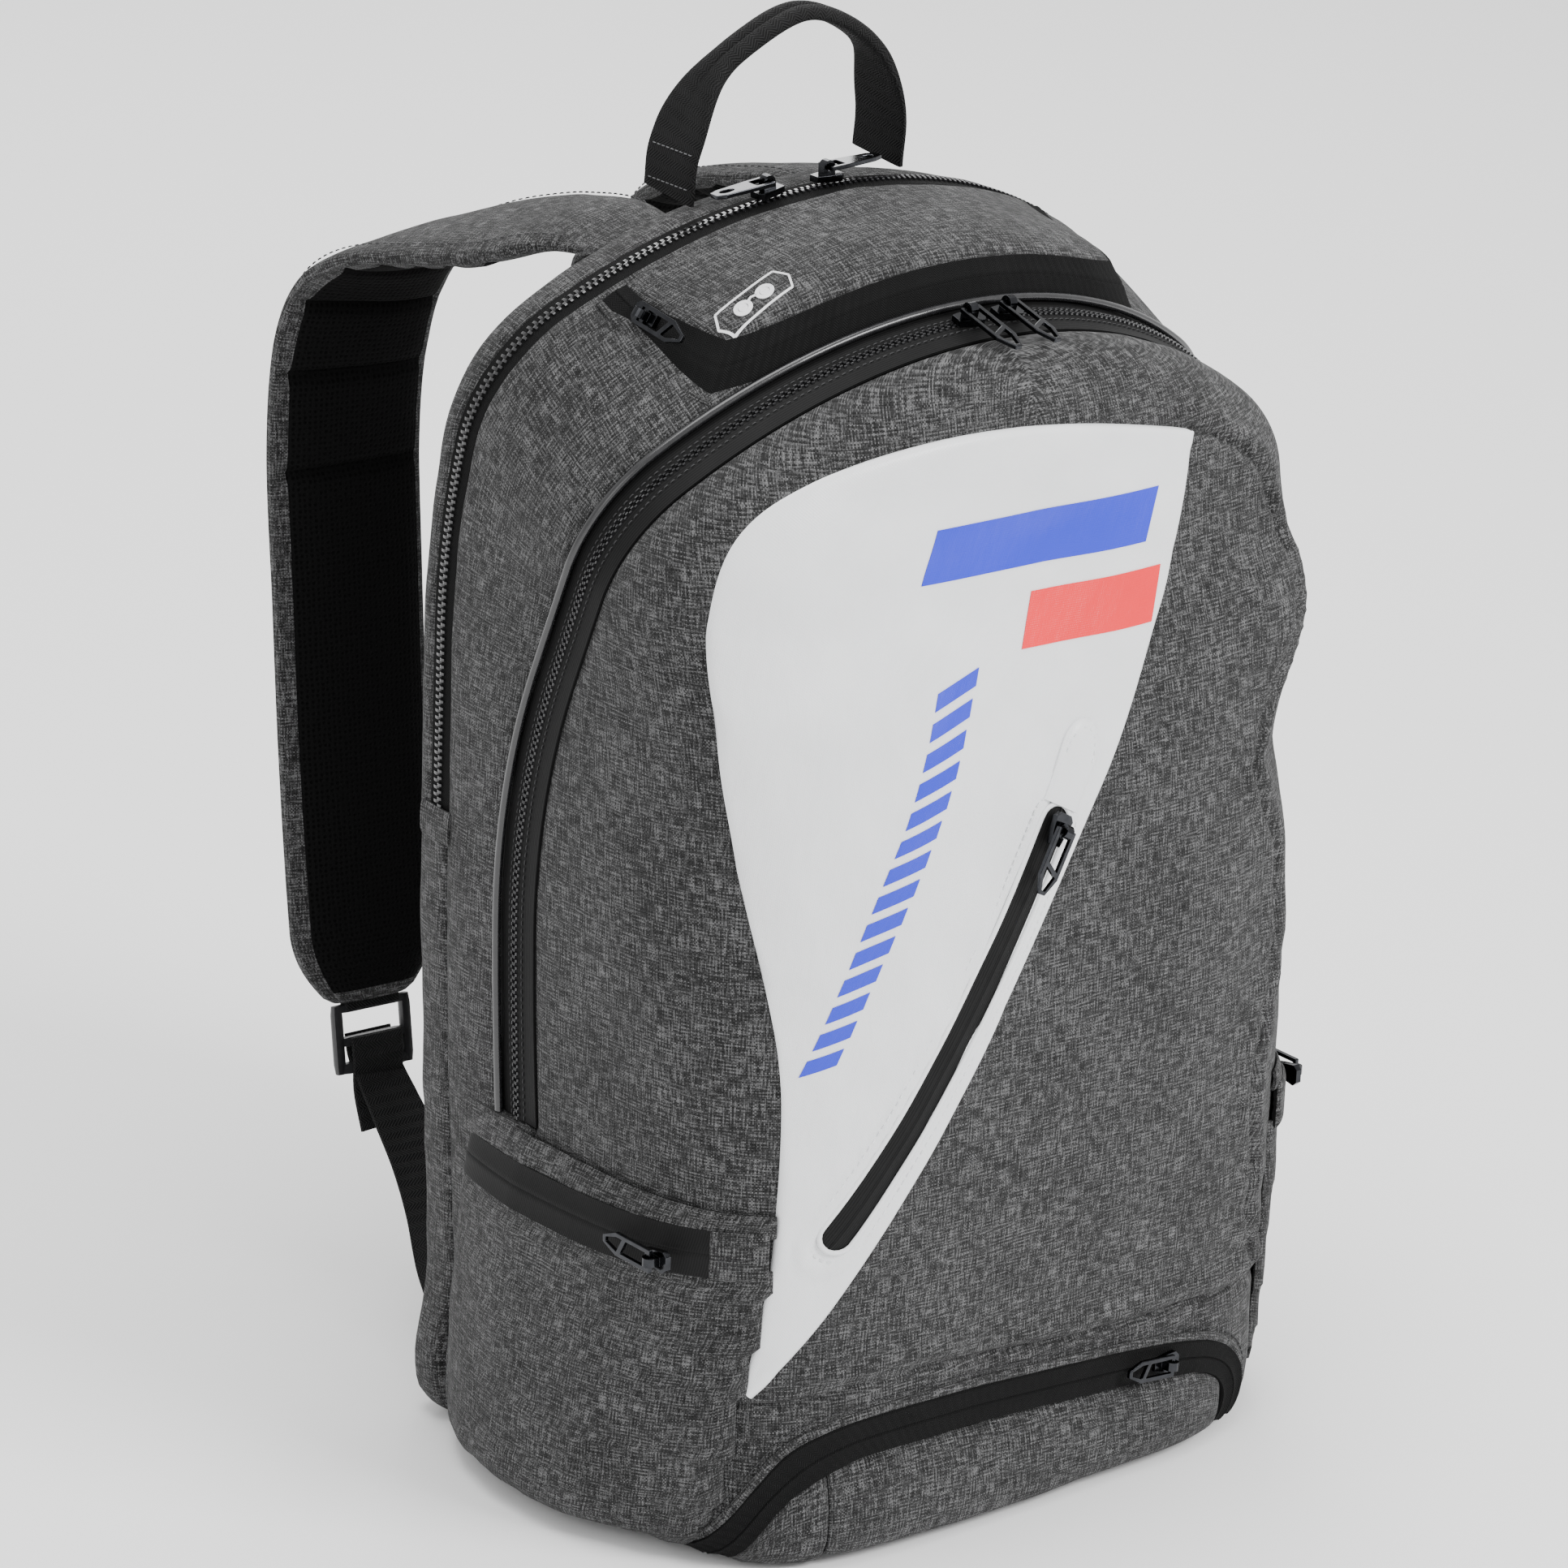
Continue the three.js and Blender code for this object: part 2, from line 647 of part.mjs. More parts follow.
function stripShape(curve, halfWidth, steps) {
  const left = [];
  const right = [];
  range(steps + 1).forEach((k) => {
    const p = curve.getPoint(k / steps);
    const t = curve.getTangent(k / steps);
    left.push([p.x - t.y * halfWidth, p.y + t.x * halfWidth]);
    right.push([p.x + t.y * halfWidth, p.y - t.x * halfWidth]);
  });
  const end = curve.getPoint(1);
  const t = curve.getTangent(1);
  const tip = [0.35, 0.5, 0.65].map((share) => {
    const angle = Math.PI * share;
    const side = Math.cos(angle) * halfWidth;
    const ahead = Math.sin(angle) * halfWidth;
    return [end.x - t.y * side + t.x * ahead, end.y + t.x * side + t.y * ahead];
  });
  return polygon([...left, ...tip, ...right.reverse()]);
}

function addFrontLid() {
  const skin = frontSkin(0, -WALL);
  const above = toManifold(block([-200, -200, LID_FOLD + 0.3], [200, 100, 600]));
  const below = toManifold(block([-200, -200, -50], [200, 100, LID_FOLD - 0.3]));
  addNode('front_panel', fromManifold(skin.intersect(above)), 'greyFabric');

  const cover = frontSkin(1.4, 0.4);
  const sail = prismXZ(sailShape(), 10, -140, 8);
  const panel = mainBody(cover.intersect(sail).intersect(above));
  addNode('white_panel', fromManifold(panel), 'tarpaulin');
  addNode('white_panel_tip', fromManifold(cover.intersect(sail).intersect(below)), 'tarpaulin');

  const zip = prismXZ(stripShape(pocketZipLine, POCKET_ZIP_WIDTH / 2, 10), 0, -140);
  const tape = frontSkin(3.2, 1.8).intersect(zip).intersect(above);
  addNode('front_pocket_zip', fromManifold(tape), 'coatedZip');

  const garage = new THREE.Shape();
  garage.moveTo(-10.8, 308);
  garage.lineTo(3.2, 300.4);
  garage.absarc(2, 314.8, 8, -0.5, 2.64);
  garage.lineTo(-10.8, 308);
  const flap = frontSkin(3.4, 1.8).intersect(prismXZ(garage, 0, -140));
  addNode('zip_garage', fromManifold(flap), 'tarpaulin');

  addLowerShell(skin.intersect(below));
}

// The edge of the shoe opening, moved in by part of the width of its zip.
function shoeOutline(inset) {
  const share = inset / SHOE_ZIP_WIDTH;
  return polygon(SHOE_OUTER.map(([x, z], k) => (
    [lerp(x, SHOE_INNER[k][0], share), lerp(z, SHOE_INNER[k][1], share)]
  )));
}

function addLowerShell(lowerSkin) {
  const opening = prismXZ(shoeOutline(0), -40, -140, 8);
  const zipOuter = prismXZ(shoeOutline(GAP), -40, -140, 8);
  const zipInner = prismXZ(shoeOutline(SHOE_ZIP_WIDTH), -40, -140, 8);
  const flap = prismXZ(shoeOutline(SHOE_ZIP_WIDTH + SHOE_FLAP_GAP), -40, -140, 8);
  const leftOfFlap = toManifold(block([-200, -200, -50], [SHOE_FLAP_LEFT, 100, 200]));
  const corner = prismXZ(shoeOutline(SHOE_ZIP_WIDTH + GAP), -40, -140, 8).intersect(leftOfFlap);
  const foot = toManifold(block([-200, -200, -50], [200, 100, SHOE_FLAP_FOOT + 0.2]));
  const zipSkin = frontSkin(0.6, -1.4);
  addNode('lower_shell', fromManifold(lowerSkin.subtract(opening.subtract(corner))), 'greyFabric');
  const tape = zipSkin.intersect(zipOuter).subtract(zipInner).subtract(foot);
  addNode('shoe_zip', fromManifold(tape), 'zipTape');
  const folding = lowerSkin.intersect(flap).subtract(foot).subtract(leftOfFlap.translate([GAP, 0, 0]));
  addNode('shoe_flap', fromManifold(folding), 'greyFabric');
}

// Outline of the inside of the bag at a height, from the back wall to the front.
function planOutline(height, rearY, margin) {
  const half = lidZipFront.halfWidth(height) - margin;
  const front = frontY(height) + margin;
  const power = planPower(height);
  const right = range(13).map((k) => {
    const angle = (k / 12) * (Math.PI / 2);
    const across = Math.cos(angle) ** (2 / power);
    return [half * across, lerp(LID_ZIP_FRONT.y, front, Math.sin(angle) ** (2 / power))];
  });
  const left = right.slice(0, -1).reverse().map(([x, y]) => [-x, y]);
  const rearHalf = rearZipFront.halfWidth(height) - margin;
  return [[-rearHalf, rearY], [rearHalf, rearY], ...right, ...left];
}

function flatPlate(outline, low, high) {
  const geometry = new THREE.ExtrudeGeometry(polygon(outline), { depth: high - low, bevelEnabled: false });
  geometry.translate(0, 0, low);
  return fromManifold(toManifold(geometry));
}

function addFloors() {
  addNode('base_panel', flatPlate(planOutline(0, 82, WALL + 1.6), 0, BASE_THICK), 'blackFabric');
  const ceiling = planOutline(SHOE_CEILING, DIVIDER_EDGE.y - 3.5, WALL + 0.8);
  addNode('shoe_compartment_ceiling', flatPlate(ceiling, SHOE_CEILING, SHOE_CEILING + 2.5), 'blackFabric');
}

// ------------------------------------------------------------------ side pockets

// A patch over the side wall, from one height to another, raised by lift(across, up).
function sidePatch(side, yFrom, yTo, low, high, thickness, lift) {
  const columns = 9;
  const rows = 5;
  const surface = (extra) => range(rows).flatMap((i) => range(columns).map((j) => {
    const up = i / (rows - 1);
    const across = j / (columns - 1);
    const y = lerp(yFrom, yTo, across);
    const z = lerp(low, high, up);
    return at(side * (sideHalfWidth(y, z) + lift(across, up) + extra), y, z);
  }));
  return shell(surface(thickness), surface(0), gridFaces(rows, columns));
}

function addSidePockets() {
  [['left', -1], ['right', 1]].forEach(([name, side]) => {
    const body = sidePatch(side, POCKET_REAR_Y, POCKET_FRONT_Y, BASE_ROUND + 2, POCKET_TOP, 2, (across, up) => {
      const swell = Math.sin(Math.PI * across) ** 0.6 * Math.sin(Math.PI * (0.12 + 0.7 * up)) ** 0.7;
      return POCKET_CLEARANCE + POCKET_BULGE * swell;
    });
    addNode(`${name}_side_pocket`, body, 'greyFabric');
    const edge = (across) => POCKET_BULGE * 0.62 * Math.sin(Math.PI * across) ** 0.3;
    const zip = sidePatch(
      side, POCKET_REAR_Y, POCKET_FRONT_Y, POCKET_TOP + GAP, POCKET_ZIP_TOP, ZIP_THICK,
      (across, up) => POCKET_CLEARANCE + edge(across) * (1 - 0.35 * up),
    );
    addNode(`${name}_pocket_zip`, zip, 'coatedZip');
    const flap = sidePatch(
      side, POCKET_REAR_Y, POCKET_FRONT_Y, POCKET_ZIP_TOP + GAP, POCKET_BAND_TOP, 3,
      (across, up) => POCKET_CLEARANCE + edge(across) * (0.65 - 0.65 * up),
    );
    addNode(`${name}_pocket_band`, flap, 'greyFabric');
  });
}

// ------------------------------------------------------------------ eyewear pocket on top

// A place above the top wall: x across, v from the rear zip (0) to the front zip (1).
function topSurface(x, v, rise) {
  const rear = rearZipFront.crownAt(x);
  const front = lidZipBack.crownAt(x);
  const along = front.clone().sub(rear).normalize();
  const up = at(0, -along.z, along.y);
  if (up.z < 0) up.negate();
  return rear.lerp(front, v).addScaledVector(up, rise);
}

function topPocketHalf(v) {
  return TOP_POCKET_HALF - 7 * (v / TOP_POCKET_FRONT) ** 4;
}

function topPocketRise(v) {
  return 2.6 + TOP_POCKET_RISE * smooth(v / TOP_POCKET_FRONT);
}

function addTopPocket() {
  const rows = 5;
  const columns = 11;
  const surface = (extra) => range(rows).flatMap((i) => range(columns).map((j) => {
    const v = lerp(TOP_POCKET_REAR, TOP_POCKET_FRONT, i / (rows - 1));
    const x = lerp(-1, 1, j / (columns - 1)) * topPocketHalf(v);
    return topSurface(x, v, topPocketRise(v) + extra);
  }));
  addNode('top_pocket_cover', shell(surface(2.5), surface(0), gridFaces(rows, columns)), 'greyFabric');

  const vs = range(rows).map((i) => lerp(TOP_POCKET_REAR, TOP_POCKET_FRONT, i / (rows - 1)));
  const frontHalf = topPocketHalf(TOP_POCKET_FRONT);
  const edge = [
    ...vs.map((v) => [-topPocketHalf(v), v, -1]),
    ...range(11).slice(1, 10).map((j) => [lerp(-1, 1, j / 10) * frontHalf, TOP_POCKET_FRONT, 0]),
    ...[...vs].reverse().map((v) => [topPocketHalf(v), v, 1]),
  ];
  const sections = edge.map(([x, v, side]) => {
    const out = side === 0 ? [0, 0.05] : [5 * side, 0.04 * smooth((v - 0.55) / 0.25)];
    const inward = side === 0 ? [0, -0.03] : [-2 * side, 0];
    const top = topPocketRise(v) - GAP;
    return [
      topSurface(x + out[0], v + out[1], GAP),
      topSurface(x, v, top),
      topSurface(x + inward[0], v + inward[1], top),
      topSurface(x + out[0] + inward[0], v + out[1] + inward[1], GAP),
    ];
  });
  addNode('top_pocket_zip', sweep(sections), 'coatedZip');
}

// ------------------------------------------------------------------ straps, lock and handle

function frames(points, steps, acrossFrom, acrossTo) {
  const curve = new THREE.CatmullRomCurve3(points, false, 'centripetal');
  return range(steps + 1).map((k) => {
    const share = k / steps;
    const along = curve.getTangentAt(share);
    const across = acrossFrom.clone().lerp(acrossTo, share);
    across.addScaledVector(along, -across.dot(along)).normalize();
    return { share, centre: curve.getPointAt(share), across, up: across.clone().cross(along) };
  });
}

// A rounded flat section: half width, half thickness and the share of the edge that is cut.
function flatSection(frame, half, thick, cut) {
  const corners = [
    [-half, -thick * 0.35], [-half + cut, -thick], [half - cut, -thick], [half, -thick * 0.35],
    [half, thick * 0.35], [half - cut, thick], [-half + cut, thick], [-half, thick * 0.35],
  ];
  return corners.map(([a, b]) => frame.centre.clone()
    .addScaledVector(frame.across, a)
    .addScaledVector(frame.up, b));
}

function strapHalfWidth(share) {
  const root = lerp(23, STRAP_WIDTH / 2, smooth(share / 0.16));
  const end = 1 - ((Math.max(0, share - 0.93) / 0.07) ** 2) * 0.45;
  return root * end;
}

function addMirrored(name, geometry, finish) {
  addNode(`left_${name}`, geometry, finish);
  const other = geometry.clone();
  other.scale(-1, 1, 1);
  const flipped = [...other.index.array];
  for (let i = 0; i < flipped.length; i += 3) {
    [flipped[i + 1], flipped[i + 2]] = [flipped[i + 2], flipped[i + 1]];
  }
  other.setIndex(flipped);
  other.computeVertexNormals();
  addNode(`right_${name}`, other, finish);
}

function addStraps() {
  const line = STRAP_LINE.map((p) => at(...p));
  const padFrames = frames(line, 18, at(1, 0, 0.15), at(1, -0.05, -0.08));
  const pad = padFrames.map((frame) => {
    const thick = (STRAP_THICK / 2) * lerp(0.6, 1, smooth(frame.share / 0.12));
    return flatSection(frame, strapHalfWidth(frame.share), thick, 5);
  });
  addMirrored('shoulder_pad', sweep(pad), 'mesh');

  const end = padFrames[padFrames.length - 1];
  const down = end.centre.clone().sub(padFrames[padFrames.length - 2].centre).normalize();
  const lockCentre = end.centre.clone().addScaledVector(down, LOCK_HEIGHT / 2 + 2);
  addMirrored('ladder_lock', lockGeometry(lockCentre, end.across, down), 'plastic');

  const webbingLine = LOWER_WEBBING_LINE.map((p) => at(...p));
  const webbing = frames(webbingLine, 12, at(1, 0.1, 0), at(0.6, 0.25, 0.75)).map((frame) => (
    flatSection(frame, WEBBING_WIDTH / 2, WEBBING_THICK / 2, 0.6)
  ));
  addMirrored('lower_webbing', sweep(webbing), 'webbing');

  const [x, z] = ANCHOR;
  const tab = new THREE.Shape();
  tab.moveTo(x - 15, z - 14);
  tab.lineTo(x + 8, z - 14);
  tab.lineTo(x + 17, z + 6);
  tab.lineTo(x + 2, z + 16);
  tab.lineTo(x - 15, z + 2);
  addMirrored('anchor_tab', fromManifold(prismXZ(tab, BACK_EDGE.y + 3.4, BACK_EDGE.y + GAP)), 'greyFabric');
}

// A plastic ladder lock: a frame with two slots, for the sewn loop and for the webbing.
function lockGeometry(centre, across, down) {
  const half = LOCK_WIDTH / 2;
  const tall = LOCK_HEIGHT / 2;
  const frame = polygon([
    [-half + 3, -tall], [half - 3, -tall], [half, -tall + 4], [half, tall - 4],
    [half - 3, tall], [-half + 3, tall], [-half, tall - 4], [-half, -tall + 4],
  ]);
  [[-9, -5], [0.5, 8.5]].forEach(([low, high]) => {
    const slot = new THREE.Path();
    slot.moveTo(-half + 5, low);
    slot.lineTo(half - 5, low);
    slot.lineTo(half - 5, high);
    slot.lineTo(-half + 5, high);
    frame.holes.push(slot);
  });
  const geometry = new THREE.ExtrudeGeometry(frame, { depth: LOCK_THICK, bevelEnabled: false });
  geometry.translate(0, 0, -LOCK_THICK / 2);
  const up = down.clone().negate();
  const level = across.clone().addScaledVector(up, -across.dot(up)).normalize();
  const basis = new THREE.Matrix4().makeBasis(level, up, level.clone().cross(up));
  geometry.applyMatrix4(basis.setPosition(centre));
  return fromManifold(toManifold(geometry));
}

// Webbing that lies flat at its two seams and is folded double and round in the hand.
function addHandle() {
  const topY = 68;
  const footY = 80;
  const footZ = 503;
  const line = [
    at(-HANDLE_HALF_SPAN, footY, footZ), at(-HANDLE_HALF_SPAN + 1, footY - 2, footZ + 20),
    at(-HANDLE_HALF_SPAN + 11, footY - 7, footZ + 46), at(-22, topY + 1, footZ + HANDLE_HEIGHT - 7),
    at(0, topY, footZ + HANDLE_HEIGHT), at(22, topY + 1, footZ + HANDLE_HEIGHT - 7),
    at(HANDLE_HALF_SPAN - 11, footY - 7, footZ + 46), at(HANDLE_HALF_SPAN - 1, footY - 2, footZ + 20),
    at(HANDLE_HALF_SPAN, footY, footZ),
  ];
  const curve = new THREE.CatmullRomCurve3(line, false, 'centripetal');
  const steps = 24;
  const sections = range(steps + 1).map((k) => {
    const share = k / steps;
    const along = curve.getTangentAt(share);
    const away = Math.min(share, 1 - share);
    const fold = smooth((away - 0.12) / 0.2);
    const across = at(0, 1, 0);
    across.addScaledVector(along, -across.dot(along)).normalize();
    const frame = { centre: curve.getPointAt(share), across, up: across.clone().cross(along) };
    return flatSection(frame, lerp(HANDLE_WEBBING / 2, 9, fold), lerp(1.1, 3.6, fold), lerp(0.6, 2.5, fold));
  });
  addNode('grab_handle', sweep(sections), 'webbing');
}

// Pads on the back, and the strip that covers the seams of the straps.
function addBackPads() {
  const pad = (low, high) => {
    const shape = new THREE.Shape();
    const [x0, z0] = low;
    const [x1, z1] = high;
    const r = 20;
    shape.moveTo(x0 + r, z0);
    shape.lineTo(x1 - r, z0);
    shape.quadraticCurveTo(x1, z0, x1, z0 + r);
    shape.lineTo(x1, z1 - r);
    shape.quadraticCurveTo(x1, z1, x1 - r, z1);
    shape.lineTo(x0 + r, z1);
    shape.quadraticCurveTo(x0, z1, x0, z1 - r);
    shape.lineTo(x0, z0 + r);
    shape.quadraticCurveTo(x0, z0, x0 + r, z0);
    return prismXZ(shape, BACK_EDGE.y + 9, BACK_EDGE.y + GAP);
  };
  addMirrored('back_pad', fromManifold(pad([-118, 132], [-16, 334])), 'mesh');
  addNode('lumbar_pad', fromManifold(pad([-100, 50], [100, 118])), 'mesh');

  const heights = [452, 470, 486];
  const strip = (offset) => heights.flatMap((height) => [-96, 0, 96].map((x) => {
    const p = backEdge.point(x, height);
    return at(p.x, p.y + offset, p.z);
  }));
  addNode('strap_yoke', shell(strip(2.2), strip(GAP), gridFaces(3, 3)), 'greyFabric');
}

// ------------------------------------------------------------------ sliders and pullers

// Places a shape drawn with x along the zip, y across it and z away from the tape.
function placed(geometry, origin, along, away) {
  const across = away.clone().cross(along).normalize();
  const basis = new THREE.Matrix4().makeBasis(along, across, away);
  const copy = geometry.clone();
  copy.applyMatrix4(basis.setPosition(origin));
  return copy;
}

// A shield-shaped plate with a bridge; crosswise turns the bridge to hold a puller that
// swings across the zip.
function sliderGeometry(crosswise) {
  const half = SLIDER_WIDTH / 2;
  const plate = polygon([
    [-SLIDER_LENGTH / 2, -half * 0.55], [-1, -half * 0.8], [SLIDER_LENGTH / 2 - 2, -half],
    [SLIDER_LENGTH / 2, -half * 0.6], [SLIDER_LENGTH / 2, half * 0.6], [SLIDER_LENGTH / 2 - 2, half],
    [-1, half * 0.8], [-SLIDER_LENGTH / 2, half * 0.55],
  ]);
  const body = new THREE.ExtrudeGeometry(plate, { depth: SLIDER_PLATE, bevelEnabled: false });
  const outer = BRIDGE_HOLE + BRIDGE_WALL;
  const bridge = new THREE.Shape();
  bridge.moveTo(-outer, SLIDER_PLATE - 0.5);
  bridge.lineTo(outer, SLIDER_PLATE - 0.5);
  bridge.lineTo(outer, BRIDGE_AXIS);
  bridge.absarc(0, BRIDGE_AXIS, outer, 0, Math.PI);
  bridge.holes.push(ellipse(0, BRIDGE_AXIS, BRIDGE_HOLE, BRIDGE_HOLE, 8));
  const loop = new THREE.ExtrudeGeometry(bridge, { depth: BRIDGE_THICK, bevelEnabled: false, curveSegments: 4 });
  loop.translate(0, 0, -BRIDGE_THICK / 2);
  loop.rotateX(Math.PI / 2);
  if (crosswise) loop.rotateZ(Math.PI / 2);
  return fromManifold(toManifold(body).add(toManifold(loop)));
}

// A loop with parallel sides, a slanted bar and a pointed end, hanging from its top bar.
// Drawn with the axis along x at the origin and the loop reaching down y.
function loopPuller(length, half) {
  const wire = PULLER_WIRE;
  const top = wire / 2;
  const outline = polygon([
    [-half, top], [half, top], [half, -length * 0.72], [half * 0.3, -length], [-half * 0.3, -length],
    [-half, -length * 0.72],
  ]);
  const upper = new THREE.Path([
    [-half + wire, top - wire], [-half + wire, -length * 0.62], [half - wire, -length * 0.5],
    [half - wire, top - wire],
  ].map(([x, y]) => new THREE.Vector2(x, y)));
  const lower = new THREE.Path([
    [-half + wire, -length * 0.7], [-half * 0.2, -length + wire], [half * 0.2, -length + wire],
    [half - wire, -length * 0.7], [half - wire, -length * 0.58],
  ].map(([x, y]) => new THREE.Vector2(x, y)));
  outline.holes.push(upper, lower);
  return flatPuller(outline);
}

// A flat tab with an eye for the bridge and an oval hole at its free end.
function tabPuller(length, half) {
  const wire = PULLER_WIRE;
  const outline = polygon([
    [-half, wire / 2], [half, wire / 2], [half, -8], [half * 0.8, -length + 4], [half * 0.5, -length],
    [-half * 0.5, -length], [-half * 0.8, -length + 4], [-half, -8],
  ]);
  const eye = new THREE.Path([
    [-half + wire, -wire / 2], [-half + wire, -7], [half - wire, -7], [half - wire, -wire / 2],
  ].map(([x, y]) => new THREE.Vector2(x, y)));
  outline.holes.push(eye, ellipse(0, -length + 6.5, half * 0.36, 3.4, 10));
  return flatPuller(outline);
}

function flatPuller(outline) {
  const geometry = new THREE.ExtrudeGeometry(outline, { depth: PULLER_WIRE, bevelEnabled: false, curveSegments: 5 });
  geometry.translate(0, 0, -PULLER_WIRE / 2);
  return fromManifold(toManifold(geometry));
}

// Adds a slider on the tape and its puller, which hangs from the bridge towards `hang`.
function addSlider(name, pullerShape, { origin, along, away, hang, crosswise = false }) {
  addNode(`${name}_slider`, placed(sliderGeometry(crosswise), origin, along, away), 'gunmetal');
  const axisPoint = origin.clone().addScaledVector(away, BRIDGE_AXIS);
  const axis = crosswise ? along.clone() : away.clone().cross(along).normalize();
  const down = hang.clone().addScaledVector(axis, -hang.dot(axis)).normalize().negate();
  const basis = new THREE.Matrix4().makeBasis(axis, down, axis.clone().cross(down));
  const puller = pullerShape.clone().applyMatrix4(basis.setPosition(axisPoint));
  addNode(`${name}_puller`, puller, 'gunmetal');
}

// The frame of a slider on the tape between two arches, at an angle round the crown.
function crownFrame(rear, front, degrees, lift) {
  const middle = (angle) => rear.crownPoint(angle).lerp(front.crownPoint(angle), 0.5);
  const angle = radians(degrees);
  const step = 0.01;
  const along = middle(angle + step).sub(middle(angle - step)).normalize();
  const away = along.clone().cross(rear.crownPoint(angle).sub(front.crownPoint(angle))).normalize();
  if (away.z < 0) away.negate();
  return { origin: middle(angle).addScaledVector(away, lift), along, away };
}

function addSliders() {
  REAR_SLIDERS.forEach(([name, degrees, side]) => {
    const frame = crownFrame(rearZipBack, rearZipFront, degrees, COIL_RISE + 0.5);
    const along = frame.along.clone().multiplyScalar(side);
    const hang = along.clone().addScaledVector(frame.away, 0.02);
    addSlider(name, tabPuller(26, 4.6), { ...frame, along, hang });
  });
  FRONT_SLIDERS.forEach(([name, degrees]) => {
    const frame = crownFrame(lidZipBack, lidZipFront, degrees, 0.5);
    const hang = at(0, -1, -0.27);
    addSlider(name, loopPuller(30, 4.8), { ...frame, hang, crosswise: true });
  });
  addFrontPocketSlider();
  addSidePocketSliders();
  addTopPocketSlider();
  addShoeSlider();
}

function skinNormal(x, z) {
  const step = 1;
  const alongX = at(2 * step, frontSurfaceY(x + step, z) - frontSurfaceY(x - step, z), 0);
  const alongZ = at(0, frontSurfaceY(x, z + step) - frontSurfaceY(x, z - step), 2 * step);
  const normal = alongX.cross(alongZ).normalize();
  return normal.y < 0 ? normal : normal.negate();
}

function addFrontPocketSlider() {
  const place = pocketZipLine.getPoint(0.05);
  const tangent = pocketZipLine.getTangent(0.1);
  const away = skinNormal(place.x, place.y);
  const along = at(tangent.x, 0, tangent.y);
  along.addScaledVector(away, -along.dot(away)).normalize();
  const origin = at(place.x, frontSurfaceY(place.x, place.y), place.y).addScaledVector(away, 4.4);
  const hang = along.clone().addScaledVector(away, -0.02);
  addSlider('front_pocket', loopPuller(26, 4.8), { origin, along: along.clone().negate(), away, hang });
}

function addSidePocketSliders() {
  const z = (POCKET_TOP + POCKET_ZIP_TOP) / 2;
  const y = POCKET_FRONT_Y + 13;
  [['left', -1], ['right', 1]].forEach(([name, side]) => {
    const x = sideHalfWidth(0, z) + POCKET_BULGE * 0.55 + ZIP_THICK + 1.9;
    const origin = at(side * x, y, z);
    const away = at(side, 0, 0);
    const place = { origin, along: at(0, -1, 0), away, hang: at(0, 1, -0.05) };
    addSlider(`${name}_pocket`, loopPuller(28, 4.8), place);
  });
}

function addTopPocketSlider() {
  const v = 0.34;
  const rise = topPocketRise(v);
  const low = topSurface(-TOP_POCKET_HALF - 5, v, GAP);
  const high = topSurface(-TOP_POCKET_HALF, v, rise);
  const forward = topSurface(-TOP_POCKET_HALF, v + 0.05, topPocketRise(v + 0.05)).sub(high).normalize();
  const across = high.clone().sub(low).normalize();
  const away = forward.clone().cross(across).normalize();
  if (away.x > 0) away.negate();
  const origin = low.lerp(high, 0.5).addScaledVector(away, 1.4);
  addSlider('top_pocket', loopPuller(27, 4.6), { origin, along: forward.clone().negate(), away, hang: forward });
}

function addShoeSlider() {
  const [x, z] = SHOE_SLIDER;
  const away = skinNormal(x, z);
  const along = at(1, 0, -0.1);
  along.addScaledVector(away, -along.dot(away)).normalize();
  const origin = at(x, frontSurfaceY(x, z), z).addScaledVector(away, 1.6);
  addSlider('shoe', loopPuller(24, 4.6), { origin, along, away, hang: along.clone().negate() });
}

// ------------------------------------------------------------------ assembly

addBack();
addRearZip();
addMainShell();
addFrontZip();
addPiping();
addFrontLid();
addFloors();
addSidePockets();
addTopPocket();
addStraps();
addHandle();
addBackPads();
addSliders();

export default bag;
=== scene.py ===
# Looks of a racket backpack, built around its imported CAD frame. Sizes of the bag are millimetres
# in the CAD's own frame (front towards -Y, +Z up) and become metres when a mesh is made. The
# camera, the lights and the floor are placed in metres.
import math

import bmesh
import bpy
import numpy as np
from mathutils import Matrix, Vector
from mathutils.bvhtree import BVHTree


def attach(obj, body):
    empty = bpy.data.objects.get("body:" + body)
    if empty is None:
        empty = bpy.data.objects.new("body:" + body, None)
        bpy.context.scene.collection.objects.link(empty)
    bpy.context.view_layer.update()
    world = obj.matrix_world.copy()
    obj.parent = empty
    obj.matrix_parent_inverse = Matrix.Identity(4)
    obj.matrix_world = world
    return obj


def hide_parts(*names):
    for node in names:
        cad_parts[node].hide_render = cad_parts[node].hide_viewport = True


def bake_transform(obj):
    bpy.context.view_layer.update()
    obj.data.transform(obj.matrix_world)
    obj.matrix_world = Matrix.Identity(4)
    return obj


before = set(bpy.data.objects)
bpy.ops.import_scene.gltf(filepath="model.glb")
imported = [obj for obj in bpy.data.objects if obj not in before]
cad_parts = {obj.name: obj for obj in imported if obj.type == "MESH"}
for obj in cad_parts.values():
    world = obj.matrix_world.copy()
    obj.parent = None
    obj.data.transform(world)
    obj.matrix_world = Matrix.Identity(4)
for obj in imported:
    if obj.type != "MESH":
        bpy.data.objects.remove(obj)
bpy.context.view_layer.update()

MM = 0.001
UNIT_SQUARE = ((0, 0), (1, 0), (1, 1), (0, 1))

# ------------------------------------------------------------------ camera

AZIMUTH = math.radians(-40)
ELEVATION = math.radians(20.5)
ROLL = math.radians(2.2)
TARGET = Vector((-0.05, 0, 0.282))
DISTANCE = 3.0
LENS_MM = 175.53
SENSOR_MM = 36


